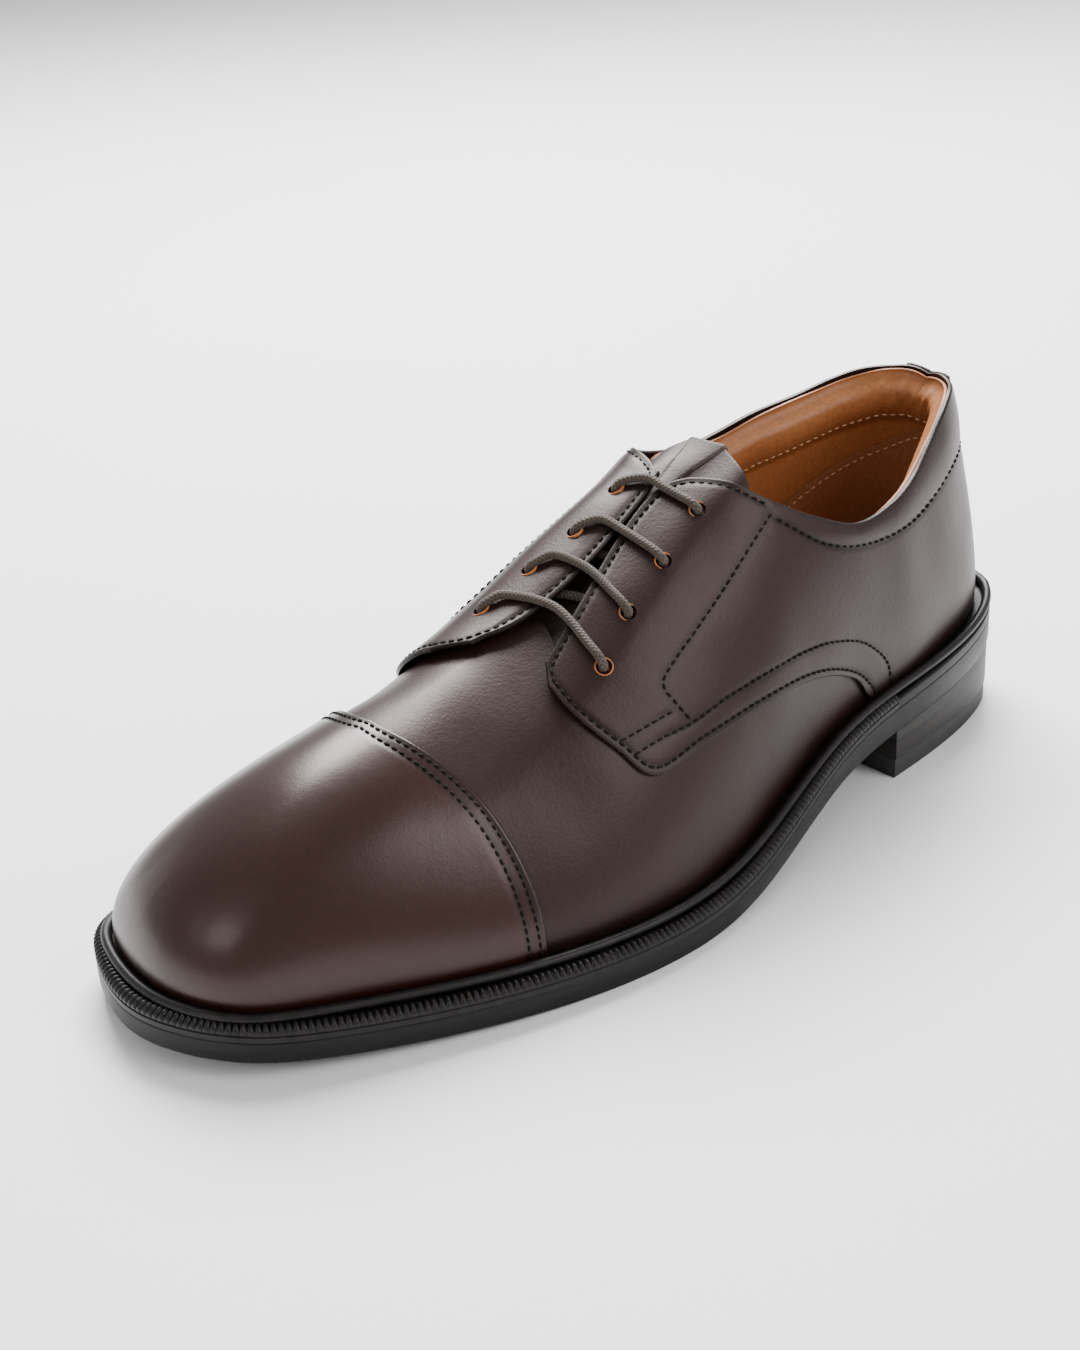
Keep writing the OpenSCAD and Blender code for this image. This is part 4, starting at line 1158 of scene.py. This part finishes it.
# ---------------------------------------------------------------- stitching
keep(stitches("stitch_cap", cap_rows, 2.3, 1.75, .32))
for side, rows in (("outer", OUTER_ROWS), ("inner", INNER_ROWS)):
    for row, run in rows.items():
        keep(stitches(f"stitch_{side}_{row}", [run], 2.5 if row != "collar" else 2.8, 1.95, .33))
for side, name in ((1, "outer"), (-1, "inner")):
    at, normals = lining_row(side)
    keep(stitches("stitch_lining_" + name, [(at, -normals)], 2.6, 1.9, .27, "pale_thread"))
arc = np.linspace(-3.12, 3.12, 140)
at, normals = skin(arc, grip_top(arc) - .025, lining_inner(arc, grip_top(arc)) - 1.05)
keep(stitches("stitch_grip", [(at, -normals)], 2.6, 1.8, .25, "pale_thread"))
keep(stitches("stitch_back", stay_edges, 2.5, 1.8, .26))

# ---------------------------------------------------------------- floor, light and camera
bm = bmesh.new()
bmesh.ops.create_grid(bm, x_segments=8, y_segments=8, size=6)
mesh = bpy.data.meshes.new("floor")
bm.to_mesh(mesh)
bm.free()
mesh.materials.append(MATERIALS["pale_floor"])
floor = bpy.data.objects.new("floor", mesh)
bpy.context.scene.collection.objects.link(floor)

world = bpy.data.worlds.new("studio")
bpy.context.scene.world = world
world.use_nodes = True
world.node_tree.nodes["Background"].inputs["Color"].default_value = (1, 1, 1, 1)
world.node_tree.nodes["Background"].inputs["Strength"].default_value = 0.68


def lamp(name, at, aim, size, power):
    data = bpy.data.lights.new(name, "AREA")
    data.shape = "RECTANGLE"
    data.size, data.size_y = size
    data.energy = power
    obj = bpy.data.objects.new(name, data)
    bpy.context.scene.collection.objects.link(obj)
    obj.location = at
    obj.rotation_euler = (Vector(aim) - Vector(at)).to_track_quat("-Z", "Y").to_euler()


lamp("overhead", (-0.75, 0.55, 1.15), (0, -0.03, 0.05), (1.0, 0.8), 80)
lamp("side", (1.2, 0.5, 0.9), (0, 0.05, 0.05), (0.7, 0.9), 12)
lamp("front", (0.2, -1.5, 0.9), (0, -0.1, 0.05), (0.9, 0.5), 5)

AZIMUTH, ELEVATION, ROLL = (math.radians(x) for x in (50.84, 26.16, -3.23))
AIM, DISTANCE = Vector((-0.0302, 0.00233, 0.03848)), 0.57294
LENS = 66.6553    # mm, on a sensor 36 mm wide
back = Vector((math.sin(AZIMUTH) * math.cos(ELEVATION), -math.cos(AZIMUTH) * math.cos(ELEVATION),
               math.sin(ELEVATION)))
level_right = Vector((math.cos(AZIMUTH), math.sin(AZIMUTH), 0))
level_up = back.cross(level_right)
right = math.cos(ROLL) * level_right + math.sin(ROLL) * level_up
up = -math.sin(ROLL) * level_right + math.cos(ROLL) * level_up
cam = bpy.data.cameras.new("photo_view")
cam.sensor_fit = "HORIZONTAL"
cam.sensor_width = 36
cam.lens = LENS
camera = bpy.data.objects.new("photo_view", cam)
bpy.context.scene.collection.objects.link(camera)
place = Matrix((right, up, back)).transposed().to_4x4()
place.translation = AIM + DISTANCE * back
camera.matrix_world = place
bpy.context.scene.camera = camera

# ---------------------------------------------------------------- CAD nodes that show, and pieces baked in place or attached to bodies
for name in ("heel_nails", "shank"):
    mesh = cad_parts[name].data
    mesh.materials.clear()
    mesh.materials.append(MATERIALS["steel"])


def point(p):
    return tuple(c / 1000 for c in p)


TOE_BEND = ((0, MID_S - 190, 0), (0, MID_S - 230, 0))
TONGUE_BEND = ((0, -18, 0), (0, 10, 0))
FLAP_BENDS = {}
for name, tilt, low, top in (("lateral_facing", 10, [[4.55, .76], [6, .59]], [[5, .93], [6.2, .85]]),
                             ("medial_facing", -40, [[4.6, 1.22], [6.4, 1.23]], [[5.15, 1], [6.67, .95]])):
    a, b = (skin(*q, 2.0)[0] for q in low)
    edge = np.mean([skin(*q, 2.0)[0] for q in top], axis=0)
    fold = (a - b) / np.linalg.norm(a - b)
    mid = (a + b) / 2
    across_flap = (edge - mid) - ((edge - mid) @ fold) * fold
    across_flap /= np.linalg.norm(across_flap)
    # tilted: turned about the fold line by the given angle
    tilt = math.radians(tilt)
    slope = math.cos(tilt) * across_flap + math.sin(tilt) * np.cross(fold, across_flap)
    FLAP_BENDS[name] = (mid, mid + 10 * slope)
LACE_BENDS = {"lace_run": ("lateral_facing", centre + 6 * across_lace),
              "lace_run_inner": ("medial_facing", centre - 6 * across_lace)}
RIGID = {"tip_outer": "lateral_facing", "tip_inner": "medial_facing", "toe_stiffener": "forefoot"}
FLAP_PARTS = ("facing_outer", "facing_inner", "quarter_", "eyelet_walls_", "stitch_outer", "stitch_inner")
TOE_PARTS = ("outsole_body", "welt_ribbed", "bead_roll", "cork_bed", "insole_sheet", "sock_sheet", "vamp_skin",
             "cap_skin", "vamp_lining_skin", "stitch_cap")
for name, obj in pieces.items():
    flap = "lateral_facing" if "outer" in name else "medial_facing"
    if name in ("tongue_skin", "tongue_back"):
        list(map(point, TONGUE_BEND))
        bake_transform(obj)
    elif name in LACE_BENDS:
        body, goal = LACE_BENDS[name]
        point(centre)
        point(goal)
        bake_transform(obj)
    elif name.startswith(FLAP_PARTS):
        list(map(point, FLAP_BENDS[flap]))
        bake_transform(obj)
    elif name in TOE_PARTS:
        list(map(point, TOE_BEND))
        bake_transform(obj)
    else:
        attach(obj, RIGID.get(name, "rearfoot"))
